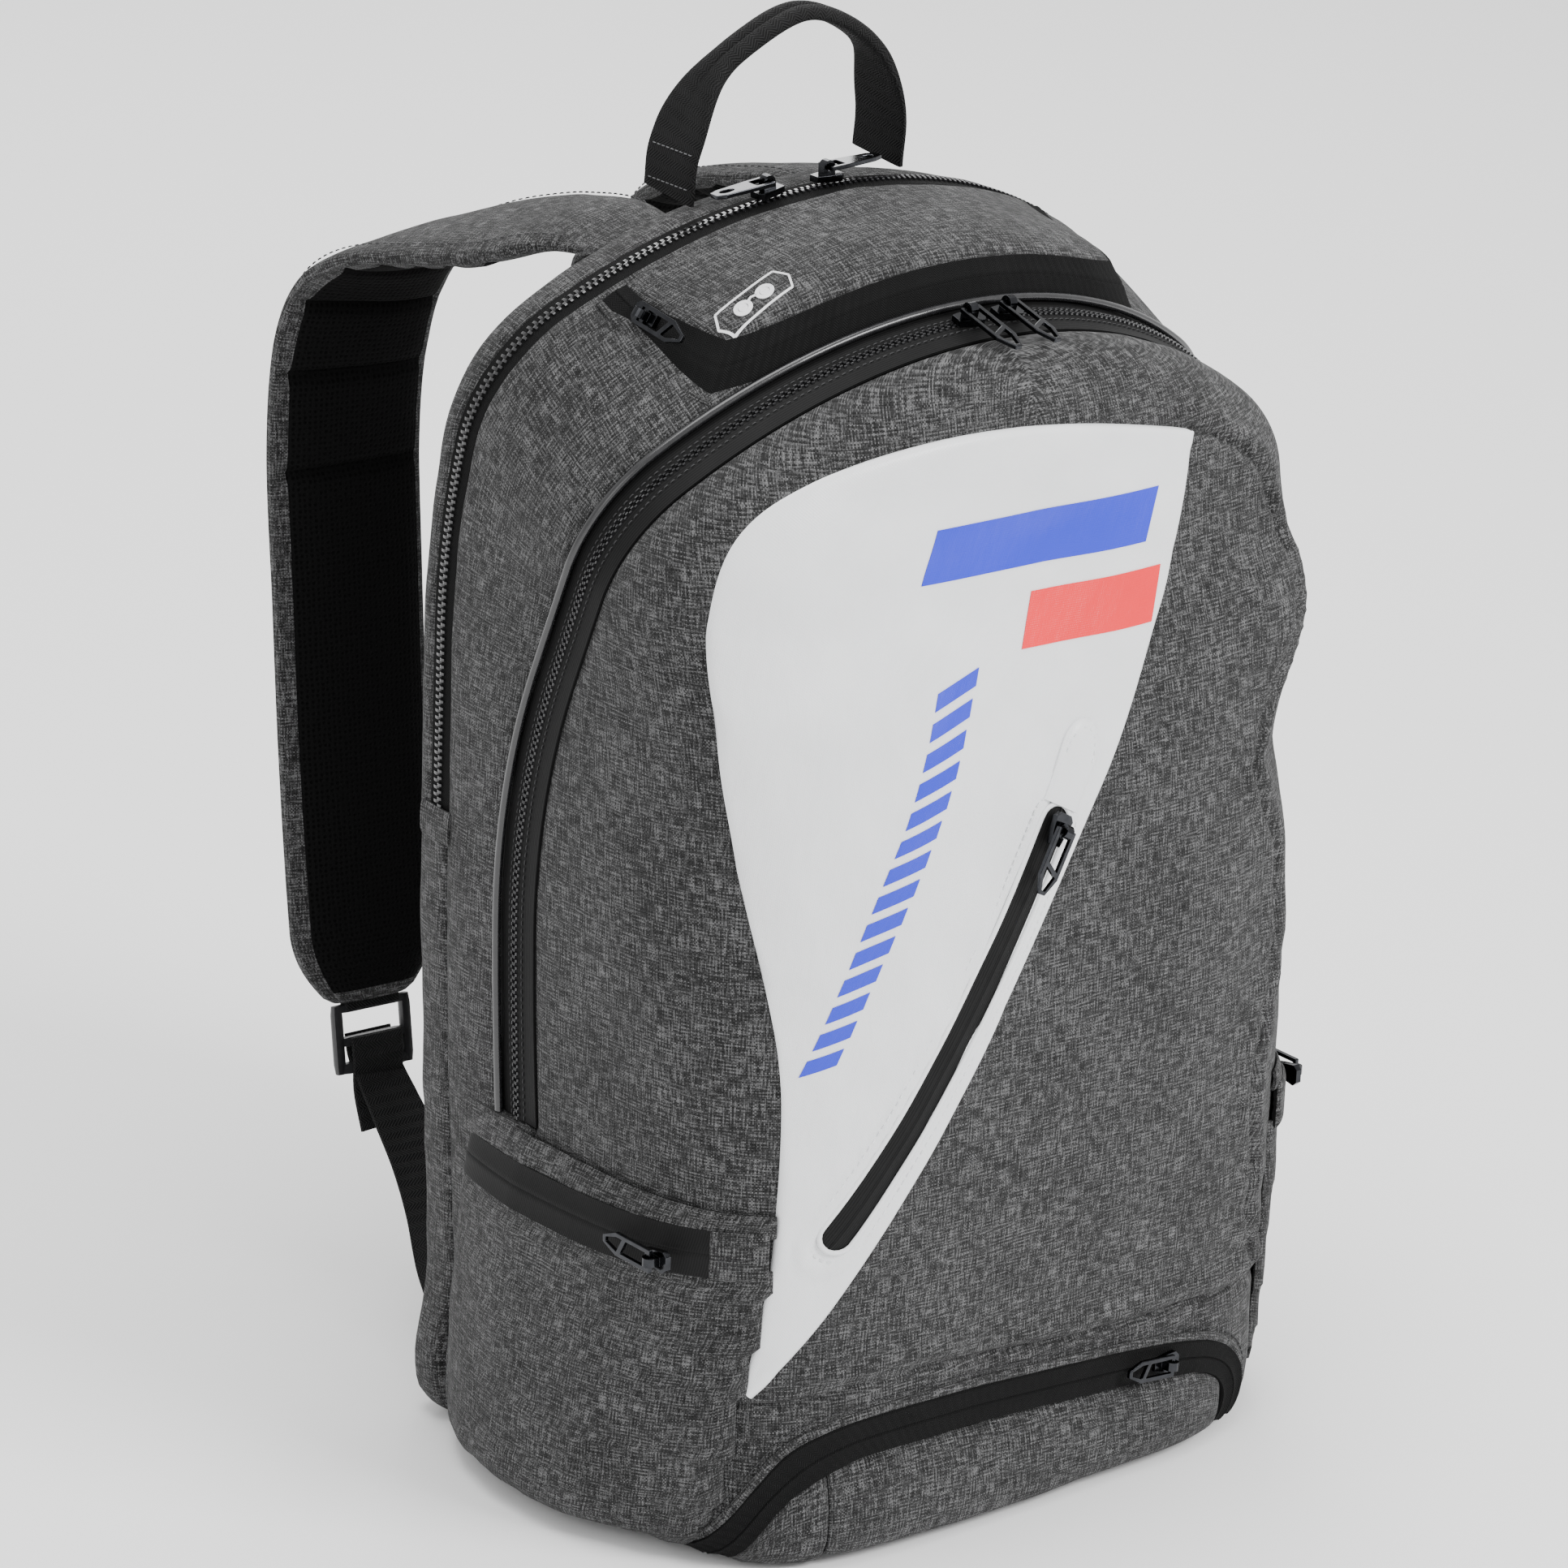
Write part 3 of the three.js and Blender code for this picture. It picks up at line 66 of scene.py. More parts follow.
def make_camera():
    back = Vector((
        math.sin(AZIMUTH) * math.cos(ELEVATION),
        -math.cos(AZIMUTH) * math.cos(ELEVATION),
        math.sin(ELEVATION),
    ))
    level = Vector((0, 0, 1)).cross(back).normalized()
    upright = back.cross(level)
    right = level * math.cos(ROLL) + upright * math.sin(ROLL)
    up = upright * math.cos(ROLL) - level * math.sin(ROLL)
    camera = bpy.data.objects.new("camera", bpy.data.cameras.new("camera"))
    camera.matrix_world = Matrix((
        (right.x, up.x, back.x, 0),
        (right.y, up.y, back.y, 0),
        (right.z, up.z, back.z, 0),
        (0, 0, 0, 1),
    ))
    camera.location = TARGET + back * DISTANCE
    camera.data.lens = LENS_MM
    camera.data.sensor_width = SENSOR_MM
    bpy.context.scene.collection.objects.link(camera)
    bpy.context.scene.camera = camera


# ------------------------------------------------------------------ materials

def node(tree, kind, inputs=None, **settings):
    """A shader node whose inputs are set to a value or linked to another node's socket."""
    made = tree.nodes.new(kind)
    for key, value in settings.items():
        setattr(made, key, value)
    for key, value in (inputs or {}).items():
        if isinstance(value, bpy.types.NodeSocket):
            tree.links.new(value, made.inputs[key])
        else:
            made.inputs[key].default_value = value
    return made


def maths(tree, operation, a, b=0.0):
    return node(tree, "ShaderNodeMath", {0: a, 1: b}, operation=operation).outputs[0]


def times(tree, a, b):
    return maths(tree, "MULTIPLY", a, b)


def place_mm(tree, use_uv):
    """The texture coordinate in millimetres, split in x, y and z."""
    source = node(tree, "ShaderNodeTexCoord").outputs["UV" if use_uv else "Object"]
    scaled = node(tree, "ShaderNodeVectorMath", {0: source, 3: 1000.0}, operation="SCALE")
    parts = node(tree, "ShaderNodeSeparateXYZ", {0: scaled.outputs[0]})
    return scaled.outputs[0], parts.outputs[0], parts.outputs[1], parts.outputs[2]


def noise(tree, x, y, z, scale=1.0, detail=2.0):
    vector = node(tree, "ShaderNodeCombineXYZ", {0: x, 1: y, 2: z}).outputs[0]
    return node(
        tree, "ShaderNodeTexNoise", {"Vector": vector, "Scale": scale, "Detail": detail},
    ).outputs[0]


def ramp(tree, value, stops):
    made = node(tree, "ShaderNodeValToRGB", {0: value})
    elements = made.color_ramp.elements
    while len(elements) < len(stops):
        elements.new(0.5)
    for element, (position, colour) in zip(elements, stops):
        element.position = position
        element.color = (*colour, 1)
    return made.outputs[0]


def grey(value):
    return (value, value, value * 1.01)


def start_material(name):
    made = bpy.data.materials.new(name)
    made.use_nodes = True
    tree = made.node_tree
    return made, tree, tree.nodes["Principled BSDF"]


def set_bump(tree, shader, height, depth_mm, strength=1.0):
    bump = node(tree, "ShaderNodeBump", {
        "Height": height, "Distance": depth_mm * MM, "Strength": strength,
    })
    tree.links.new(bump.outputs[0], shader.inputs["Normal"])


def wave(tree, value, pitch):
    """0 to 1 and back along value, once each pitch."""
    turned = times(tree, value, 2 * math.pi / pitch)
    return maths(tree, "MULTIPLY_ADD", maths(tree, "SINE", turned), 0.5)


def melange(name, shades, thread=0.72, use_uv=True, depth=0.22, wear=0.1):
    """Heathered canvas: warp and weft threads with their own streaks, crossing each other."""
    made, tree, shader = start_material(name)
    _, x, y, z = place_mm(tree, use_uv)
    rate, slow = 1 / thread, 0.09 / thread
    warp = noise(tree, times(tree, x, rate), times(tree, y, slow), z, 1, 3)
    weft_z = maths(tree, "ADD", z, 31.0)
    weft = noise(tree, times(tree, x, slow), times(tree, y, rate), weft_z, 1, 3)
    over_x = maths(tree, "SINE", times(tree, x, math.pi / thread))
    over_y = maths(tree, "SINE", times(tree, y, math.pi / thread))
    over = times(tree, over_x, over_y)
    share = node(tree, "ShaderNodeMapRange", {0: over, 1: -0.35, 2: 0.35}).outputs[0]
    blended = node(tree, "ShaderNodeMix", {0: share, 2: warp, 3: weft}).outputs[0]
    broad = noise(tree, times(tree, x, 0.03), times(tree, y, 0.03), z, 1, 2)
    flecks = noise(tree, times(tree, x, 0.5), times(tree, y, 0.5), z, 1, 2)
    tone = maths(tree, "ADD", blended, times(tree, maths(tree, "SUBTRACT", broad, 0.5), wear))
    tone = maths(tree, "ADD", tone, times(tree, maths(tree, "SUBTRACT", flecks, 0.5), 0.16))
    dark, middle, light = shades
    colour = ramp(tree, tone, [(0.36, grey(dark)), (0.49, grey(middle)), (0.66, grey(light))])
    tree.links.new(colour, shader.inputs["Base Color"])
    shader.inputs["Roughness"].default_value = 0.88
    shader.inputs["Specular IOR Level"].default_value = 0.2
    shader.inputs["Sheen Weight"].default_value = 0.06
    shader.inputs["Sheen Roughness"].default_value = 0.5
    height = maths(tree, "ADD", maths(tree, "ABSOLUTE", over), times(tree, blended, 0.8))
    set_bump(tree, shader, height, depth)
    return made


def ribbed(name, shades, roughness, pitch, depth, along_x=True, herring=0.0, use_uv=True, coat=0.0):
    """Woven tape: ribs across it, turned into a herringbone by `herring`."""
    made, tree, shader = start_material(name)
    _, x, y, z = place_mm(tree, use_uv)
    run, side = (x, y) if along_x else (y, x)
    if herring:
        fold = maths(tree, "PINGPONG", side, herring)
        run = maths(tree, "ADD", run, fold)
    ribs = wave(tree, run, pitch)
    fibres = noise(tree, times(tree, x, 2.2), times(tree, y, 2.2), z, 1, 3)
    dust = noise(tree, times(tree, x, 0.08), times(tree, y, 0.08), z, 1, 3)
    tone = maths(tree, "ADD", times(tree, ribs, 0.4), times(tree, fibres, 0.4))
    tone = maths(tree, "ADD", tone, times(tree, dust, 0.25))
    colour = ramp(tree, tone, [(0.25, grey(shades[0])), (0.8, grey(shades[1]))])
    tree.links.new(colour, shader.inputs["Base Color"])
    shader.inputs["Roughness"].default_value = roughness
    shader.inputs["Specular IOR Level"].default_value = 0.1
    shader.inputs["Coat Weight"].default_value = coat
    shader.inputs["Coat Roughness"].default_value = 0.35
    height = maths(tree, "ADD", ribs, times(tree, fibres, 0.3))
    set_bump(tree, shader, height, depth)
    return made


def tarpaulin(name, colour):
    """Coated cloth: glossy, with its scrim showing as a faint grid and small dents."""
    made, tree, shader = start_material(name)
    _, x, y, z = place_mm(tree, True)
    scrim = maths(tree, "ADD", wave(tree, x, 0.9), wave(tree, y, 0.9))
    dents = noise(tree, times(tree, x, 0.12), times(tree, y, 0.05), z, 1, 3)
    grime = noise(tree, times(tree, x, 0.03), times(tree, y, 0.03), z, 1, 4)
    shade = tuple(c * 0.93 for c in colour)
    tree.links.new(ramp(tree, grime, [(0.3, shade), (0.7, colour)]), shader.inputs["Base Color"])
    rough = node(tree, "ShaderNodeMapRange", {0: grime, 3: 0.24, 4: 0.36}).outputs[0]
    tree.links.new(rough, shader.inputs["Roughness"])
    shader.inputs["Specular IOR Level"].default_value = 0.3
    shader.inputs["Coat Weight"].default_value = 0.12
    shader.inputs["Coat Roughness"].default_value = 0.18
    height = maths(tree, "ADD", times(tree, scrim, 0.05), times(tree, dents, 1.2))
    set_bump(tree, shader, height, 0.5)
    return made


def air_mesh(name, shades):
    """Knitted spacer mesh: rows of small round holes, each hole darkened with painted shade."""
    made, tree, shader = start_material(name)
    vector, x, y, z = place_mm(tree, True)
    cells = node(tree, "ShaderNodeTexVoronoi", {"Vector": vector, "Scale": 0.42, "Randomness": 0.25})
    hole = node(tree, "ShaderNodeMapRange", {0: cells.outputs["Distance"], 1: 0.16, 2: 0.42}).outputs[0]
    fibres = noise(tree, times(tree, x, 1.6), times(tree, y, 1.6), z, 1, 2)
    tone = maths(tree, "ADD", times(tree, hole, 0.7), times(tree, fibres, 0.3))
    # The colour ramp makes each hole darker than the knit: painted shade inside the holes.
    colour = ramp(tree, tone, [(0.1, grey(shades[0])), (0.9, grey(shades[1]))])
    tree.links.new(colour, shader.inputs["Base Color"])
    shader.inputs["Roughness"].default_value = 0.9
    shader.inputs["Specular IOR Level"].default_value = 0.08
    set_bump(tree, shader, tone, 0.5)
    return made


def moulded(name, colour, roughness, metallic=0.0, coat=0.0, grain=0.04):
    """Moulded plastic or plated metal with fine grain and handling marks."""
    made, tree, shader = start_material(name)
    _, x, y, z = place_mm(tree, False)
    fine = noise(tree, x, y, z, 3.0, 3)
    marks = noise(tree, x, y, z, 0.25, 4)
    tree.links.new(
        ramp(tree, marks, [(0.3, colour), (0.75, tuple(min(1, c * 1.5 + 0.004) for c in colour))]),
        shader.inputs["Base Color"],
    )
    rough = node(tree, "ShaderNodeMapRange", {0: marks, 3: roughness * 0.8, 4: roughness * 1.35})
    tree.links.new(rough.outputs[0], shader.inputs["Roughness"])
    shader.inputs["Metallic"].default_value = metallic
    shader.inputs["Coat Weight"].default_value = coat
    set_bump(tree, shader, fine, grain)
    return made


def make_materials():
    return {
        "grey": melange("grey_melange", (0.004, 0.024, 0.15)),
        "lining": ribbed("black_lining", (0.004, 0.011), 0.8, 0.8, 0.05),
        "tape": ribbed("zip_tape_weave", (0.003, 0.011), 0.85, 1.0, 0.18, herring=2.2),
        "coated": ribbed("coated_zip_film", (0.004, 0.012), 0.6, 1.1, 0.06, coat=0.02),
        "teeth": moulded("zip_teeth", (0.012, 0.012, 0.013), 0.22, coat=0.5),
        "white": tarpaulin("white_tarpaulin_coat", (0.80, 0.81, 0.82)),
        "blue": tarpaulin("blue_print", (0.022, 0.035, 0.60)),
        "red": tarpaulin("red_print", (0.88, 0.02, 0.03)),
        "ink": tarpaulin("white_print", (0.75, 0.75, 0.76)),
        "piping": moulded("piping_vinyl", (0.008, 0.008, 0.009), 0.25, coat=0.4),
        "mesh": air_mesh("spacer_mesh", (0.001, 0.005)),
        "webbing": ribbed("webbing_weave", (0.004, 0.022), 0.7, 1.5, 0.4, herring=3.0),
        "plastic": moulded("black_plastic_moulded", (0.012, 0.012, 0.013), 0.38, grain=0.08),
        "metal": moulded("black_nickel", (0.03, 0.031, 0.034), 0.16, metallic=1.0, grain=0.015),
        "thread": moulded("black_thread", (0.012, 0.012, 0.013), 0.6, grain=0.1),
        "thread_grey": moulded("grey_thread", (0.11, 0.11, 0.115), 0.6, grain=0.1),
        "thread_white": moulded("white_thread", (0.62, 0.63, 0.64), 0.6, grain=0.1),
    }


# ------------------------------------------------------------------ floor and light

def area_light(name, place, aim, size, power):
    light = bpy.data.lights.new(name, "AREA")
    light.shape = "RECTANGLE"
    light.size, light.size_y = size
    light.energy = power
    holder = bpy.data.objects.new(name, light)
    holder.location = place
    holder.rotation_mode = "QUATERNION"
    holder.rotation_quaternion = (Vector(place) - Vector(aim)).to_track_quat("Z", "Y")
    bpy.context.scene.collection.objects.link(holder)


def make_studio():
    mesh = bpy.data.meshes.new("floor")
    far = 30
    mesh.from_pydata([(-far, -far, 0), (far, -far, 0), (far, far, 0), (-far, far, 0)], [], [(0, 1, 2, 3)])
    floor = bpy.data.objects.new("floor", mesh)
    floor.location.z = -0.0005
    bpy.context.scene.collection.objects.link(floor)
    pale, tree, shader = start_material("pale_floor")
    tree.nodes["Principled BSDF"].inputs["Base Color"].default_value = (0.97, 0.97, 0.97, 1)
    shader.inputs["Roughness"].default_value = 0.9
    floor.data.materials.append(pale)
    world = bpy.data.worlds.new("studio")
    world.use_nodes = True
    world.node_tree.nodes["Background"].inputs["Color"].default_value = (1, 1, 1, 1)
    world.node_tree.nodes["Background"].inputs["Strength"].default_value = 1.0
    bpy.context.scene.world = world
    middle = (0, 0, 0.28)
    area_light("key", (0.9, -2.2, 1.9), middle, (1.2, 1.2), 80)
    area_light("fill", (-2.4, -1.0, 1.2), middle, (1.6, 1.6), 14)
    area_light("top", (-0.2, 0.2, 2.4), middle, (1.4, 1.4), 34)
    area_light("rim", (1.2, 2.0, 1.6), middle, (1.2, 1.2), 20)


# ------------------------------------------------------------------ small maths

def smooth(value):
    t = np.clip(value, 0, 1)
    return t * t * (3 - 2 * t)


def lerp(a, b, share):
    return a + (b - a) * share


def unit(vectors):
    length = np.linalg.norm(vectors, axis=-1, keepdims=True)
    return vectors / np.maximum(length, 1e-9)


def lumps(points, size, seed=0):
    """Smooth bumps from -1 to 1, about `size` apart, the same on every run."""
    cell = np.asarray(points, float) / size + 1000.0
    low = np.floor(cell).astype(np.int64)
    share = cell - low
    share = share * share * (3 - 2 * share)
    total = 0.0
    for corner in np.ndindex(2, 2, 2):
        place = low + np.array(corner)
        mixed = place[..., 0] * 73856093 ^ place[..., 1] * 19349663 ^ place[..., 2] * 83492791
        mixed = (mixed ^ (seed * 2654435761)) & 0xFFFFFFFF
        mixed = ((mixed ^ (mixed >> 13)) * 1274126177) & 0xFFFFFFFF
        value = ((mixed ^ (mixed >> 16)) & 0xFFFF) / 32767.5 - 1
        weight = np.prod(np.where(np.array(corner) == 1, share, 1 - share), axis=-1)
        total = total + value * weight
    return total


def lengths_along(points):
    """Running length along a line of points."""
    steps = np.linalg.norm(np.diff(points, axis=0), axis=-1)
    return np.concatenate([[0], np.cumsum(steps)])


def between(place, run, points):
    """The point at a length along a line whose running lengths are `run`."""
    return np.array([np.interp(place, run, points[:, k]) for k in range(3)])


def resample(points, count):
    run = lengths_along(points)
    wanted = np.linspace(0, run[-1], count)
    return np.stack([np.interp(wanted, run, points[:, k]) for k in range(points.shape[1])], axis=1)


def spline(points, count):
    """A smooth line through the points, evenly spaced along its length."""
    points = np.asarray(points, float)
    padded = np.vstack([2 * points[0] - points[1], points, 2 * points[-1] - points[-2]])
    line = []
    for a, b, c, d in zip(padded, padded[1:], padded[2:], padded[3:]):
        for t in np.linspace(0, 1, 24, endpoint=False):
            line.append(0.5 * (
                2 * b + (c - a) * t + (2 * a - 5 * b + 4 * c - d) * t * t
                + (3 * b - a - 3 * c + d) * t ** 3
            ))
    line.append(points[-1])
    return resample(np.array(line), count)


# ------------------------------------------------------------------ meshes

def add_object(name, points, faces, uvs, finishes, face_finish, sharp=42):
    """A mesh object from millimetre points, with one uv (in metres) for each face corner."""
    mesh = bpy.data.meshes.new(name)
    mesh.from_pydata((np.asarray(points) * MM).tolist(), [], faces)
    layer = mesh.uv_layers.new(name="metres")
    layer.data.foreach_set("uv", (np.asarray(uvs, np.float32) * MM).ravel())
    for finish in finishes:
        mesh.materials.append(MATERIALS[finish])
    mesh.polygons.foreach_set("material_index", np.asarray(face_finish, np.int32))
    mesh.polygons.foreach_set("use_smooth", np.ones(len(faces), bool))
    mesh.set_sharp_from_angle(angle=math.radians(sharp))
    mesh.update()
    made = bpy.data.objects.new(name, mesh)
    bpy.context.scene.collection.objects.link(made)
    return made


def grid_quads(rows, columns):
    a = (np.arange(rows - 1)[:, None] * columns + np.arange(columns - 1)[None, :]).ravel()
    return np.stack([a, a + columns, a + columns + 1, a + 1], axis=1)


def weld(points):
    """(first, remap): the index of each unique point and where every point went."""
    keys = np.round(points * 100).astype(np.int64)
    _, first, remap = np.unique(keys, axis=0, return_index=True, return_inverse=True)
    return first, remap.ravel()


def grid_normals(grid, outward=(0, 0, 0)):
    """Unit normals of a grid, shared where its points meet, pointing away from `outward`."""
    rows, columns = grid.shape[:2]
    points = grid.reshape(-1, 3)
    first, remap = weld(points)
    quads = grid_quads(rows, columns)
    sums = np.zeros((len(first), 3))
    across = points[quads[:, 2]] - points[quads[:, 0]]
    other = points[quads[:, 3]] - points[quads[:, 1]]
    normal = np.cross(across, other)
    for k in range(4):
        np.add.at(sums, remap[quads[:, k]], normal)
    found = unit(sums)[remap].reshape(rows, columns, 3)
    away = np.sum(found * (grid - np.array(outward)), axis=-1)
    return found * (1 if away.sum() >= 0 else -1)


def grid_uv(grid):
    """Lengths along and across the cloth, so that a weave keeps its size and direction."""
    columns = grid.shape[1]
    run = lengths_along(grid[:, columns // 2])
    across = np.stack([lengths_along(row) for row in grid])
    across = across - across[:, columns // 2][:, None]
    return np.stack([across, np.repeat(run[:, None], columns, axis=1)], axis=-1)


def cloth(name, grid, thick, finishes, keep=None, normals=None, uv=None, outward=(0, 0, 250)):
    """A closed sheet: the grid is its outer face and `thick` its depth (a number or a grid)."""
    rows, columns = grid.shape[:2]
    if normals is None:
        normals = grid_normals(grid, outward)
    if uv is None:
        uv = grid_uv(grid)
    uv = uv.reshape(-1, 2)
    quads = grid_quads(rows, columns)
    if keep is not None:
        quads = quads[np.asarray(keep).ravel()]
    flat = grid.reshape(-1, 3)
    first, remap = weld(flat)
    outer = flat[first]
    facing = normals.reshape(-1, 3)[first]
    depth = np.broadcast_to(np.asarray(thick, float), (rows, columns)).reshape(-1)[first]
    inner = outer - facing * depth[:, None]
    # The lowest cloth lies on the floor.
    outer[:, 2] = np.maximum(outer[:, 2], 0.1)
    inner[:, 2] = np.maximum(inner[:, 2], 0.4)
    count = len(first)
    middle = quads[len(quads) // 2]
    turn = np.cross(flat[middle[2]] - flat[middle[0]], flat[middle[3]] - flat[middle[1]])
    flip = turn @ normals.reshape(-1, 3)[middle[0]] < 0
    faces, uvs, finish, edges = [], [], [], {}
    for quad in quads:
        corners = []
        for index in (quad[::-1] if flip else quad):
            if not corners or remap[index] != remap[corners[-1]]:
                corners.append(index)
        if len(corners) > 1 and remap[corners[0]] == remap[corners[-1]]:
            corners.pop()
        if len(corners) < 3 or len({remap[i] for i in corners}) < len(corners):
            continue
        ring = [int(remap[i]) for i in corners]
        faces.append(ring)
        uvs.extend(uv[i] for i in corners)
        finish.append(0)
        faces.append([i + count for i in reversed(ring)])
        uvs.extend(uv[i] for i in reversed(corners))
        finish.append(1)
        for k, start in enumerate(ring):
            end = ring[(k + 1) % len(ring)]
            edges[(start, end)] = (uv[corners[k]], uv[corners[(k + 1) % len(ring)]])
    for (start, end), (from_uv, to_uv) in edges.items():
        if (end, start) not in edges:
            faces.append([end, start, start + count, end + count])
            uvs.extend([to_uv, from_uv, from_uv + 1.5, to_uv + 1.5])
            finish.append(0)
    used = sorted({i for face in faces for i in face})
    renumber = {old: new for new, old in enumerate(used)}
    points = np.vstack([outer, inner])[used]
    faces = [[renumber[i] for i in face] for face in faces]
    return add_object(name, points, faces, uvs, finishes, finish)


def tube(name, sections, finishes, finish_of=None, closed=False, sharp=42):
    """A body through rings of points; finish_of(row, column) picks a finish for each face."""
    rings = np.asarray(sections, float)
    rows, count = rings.shape[:2]
    run = lengths_along(rings.mean(axis=1))
    faces, uvs, finish = [], [], []
    for i in range(rows if closed else rows - 1):
        j = (i + 1) % rows
        girth = lengths_along(np.vstack([rings[i], rings[i][:1]]))
        ahead = run[i] + np.linalg.norm(rings[j].mean(axis=0) - rings[i].mean(axis=0))
        for k in range(count):
            n = (k + 1) % count
            faces.append([i * count + k, i * count + n, j * count + n, j * count + k])
            uvs.extend([(girth[k], run[i]), (girth[k + 1], run[i]), (girth[k + 1], ahead), (girth[k], ahead)])
            finish.append(finish_of(i, k) if finish_of else 0)
    if not closed:
        for row in (0, rows - 1):
            ring = [row * count + k for k in range(count)]
            faces.append(ring[::-1] if row == 0 else ring)
            flat = rings[row] - rings[row].mean(axis=0)
            uvs.extend((p[0] + p[1], p[2]) for p in (flat[::-1] if row == 0 else flat))
            finish.append(0)
    points = rings.reshape(-1, 3)
    volume = 0.0
    for face in faces:
        for k in range(1, len(face) - 1):
            volume += points[face[0]] @ np.cross(points[face[k]], points[face[k + 1]])
    if volume < 0:
        turned = []
        start = 0
        for face in faces:
            turned.extend(reversed(uvs[start:start + len(face)]))
            start += len(face)
            face.reverse()
        uvs = turned
    return add_object(name, points, faces, uvs, finishes, finish, sharp)


def cord_rings(line, side, up, wide, high, count=10):
    """Oval sections along a line, for a tube."""
    turn = np.linspace(0, 2 * math.pi, count, endpoint=False)
    rings = [line + side * wide * math.cos(a) + up * high * math.sin(a) for a in turn]
    return np.stack(rings, axis=1)


def metres(*place):
    return tuple(value * MM for value in place)


def piece(obj, body, slot, *nodes):
    """Fastens a finished piece to its body and hides the CAD nodes it stands for; `slot` is not used."""
    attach(obj, body)
    if nodes:
        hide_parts(*nodes)
    return obj


def stitches(name, line, normals, finish, pitch=3.4, length=2.3, width=0.5, height=0.35):
    """A row of thread stitches along a line on a surface."""
    run = lengths_along(line)
    count = int(run[-1] / pitch)
    points, faces, uvs = [], [], []
    for k in range(count):
        middle = (k + 0.5) * run[-1] / count
        ends = np.array([between(middle + s * length / 2, run, line) for s in (-1, 1)])
        up = unit(between(middle, run, normals))
        along = unit(ends[1] - ends[0])
        side = np.cross(up, along) * width / 2
        base = len(points)
        shape = [(0, -0.8, -0.25), (0, 0.8, -0.25), (0.22, -1, 1), (0.22, 1, 1),
                 (0.78, -1, 1), (0.78, 1, 1), (1, -0.8, -0.25), (1, 0.8, -0.25)]
        for share, across, rise in shape:
            points.append(lerp(ends[0], ends[1], share) + side * across + up * height * rise)
        for face in ((0, 1, 3, 2), (2, 3, 5, 4), (4, 5, 7, 6), (0, 2, 4, 6), (1, 7, 5, 3), (0, 6, 7, 1)):
            faces.append([base + i for i in face])
            uvs.extend(UNIT_SQUARE)
    return add_object(name, np.array(points), faces, uvs, [finish], [0] * len(faces))


# ------------------------------------------------------------------ seam arches of the bag

GAP = 0.4
WALL = 3
BASE_ROUND = 14
BEND = {"bend_from": 340, "bend_radius": 300}
FRONT_BEND = {"bend_from": 240, "bend_radius": 280, "lean": 22}
BACK_EDGE_Y = 105
REAR_ZIP_FROM = 262
LID_ZIP_FROM = 153
SPINE_RISE = 0.3


def base_inset(height):
    rise = np.maximum(0, BASE_ROUND - np.asarray(height, float))
    return BASE_ROUND - np.sqrt(np.maximum(0, BASE_ROUND ** 2 - rise ** 2))


class Arch:
    """Two straight sides, two corner arcs and a wide crown arc, leaning forward at the top."""

    def __init__(self, y, half, half_base, top, corner, crown, lean, bend_from, bend_radius):
        self.size = dict(
            y=y, half=half, half_base=half_base, top=top, corner=corner, crown=crown, lean=lean,
            bend_from=bend_from, bend_radius=bend_radius,
        )
        self.__dict__.update(self.size)
        run = crown - corner
        self.corner_x = half - corner
        self.corner_height = top - crown + math.sqrt(run ** 2 - self.corner_x ** 2)
        self.crown_angle = math.asin(self.corner_x / run)

    def changed(self, **sizes):
        return Arch(**{**self.size, **sizes})

    def inset(self, depth):
        names = ("half", "half_base", "top", "corner", "crown")
        return self.changed(**{name: self.size[name] - depth for name in names})

    def moved(self, distance):
        return self.changed(y=self.y + distance)

    def half_width(self, height):
        return lerp(self.half_base, self.half, smooth(np.asarray(height) / 250)) - base_inset(height)

    def point(self, x, height):
        tuck = base_inset(height) * (self.y / BACK_EDGE_Y)
        lean = math.radians(self.lean)
        angle = np.clip((np.asarray(height) - self.bend_from) / self.bend_radius, 0, lean)
        rest = np.maximum(0, height - self.bend_from - self.bend_radius * angle)
        y = self.y - tuck - self.bend_radius * (1 - np.cos(angle)) - rest * np.sin(angle)
        z = np.minimum(height, self.bend_from) + self.bend_radius * np.sin(angle) + rest * np.cos(angle)
        return np.stack(np.broadcast_arrays(x, y, z), axis=-1).astype(float)

    def crown_at(self, x):
        angle = np.arcsin(np.asarray(x) / self.crown)
        return self.point(x, self.top - self.crown + self.crown * np.cos(angle))

    def left_half(self, heights):
        """Left side from the lowest height, round the corner and along the crown to the middle."""
        heights = np.asarray(heights, float)
        side = self.point(-self.half_width(heights), heights)
        rise = np.linspace(heights[-1], self.corner_height, 7)[1:-1]
        upper = self.point(-self.half_width(rise), rise)
        turn = math.pi - (math.pi / 2 - self.crown_angle) * np.linspace(0, 1, 14, endpoint=False)
        corner = self.point(
            -self.corner_x + self.corner * np.cos(turn), self.corner_height + self.corner * np.sin(turn),
        )
        sweep = -self.crown_angle * (1 - np.linspace(0, 1, 22))
        crown = self.point(self.crown * np.sin(sweep), self.top - self.crown + self.crown * np.cos(sweep))
        return np.vstack([side, upper, corner, crown])

    def path(self, heights):
        left = self.left_half(heights)
        return np.vstack([left, mirror(left[:-1][::-1])])


def mirror(points):
    return np.asarray(points) * np.array([-1, 1, 1])


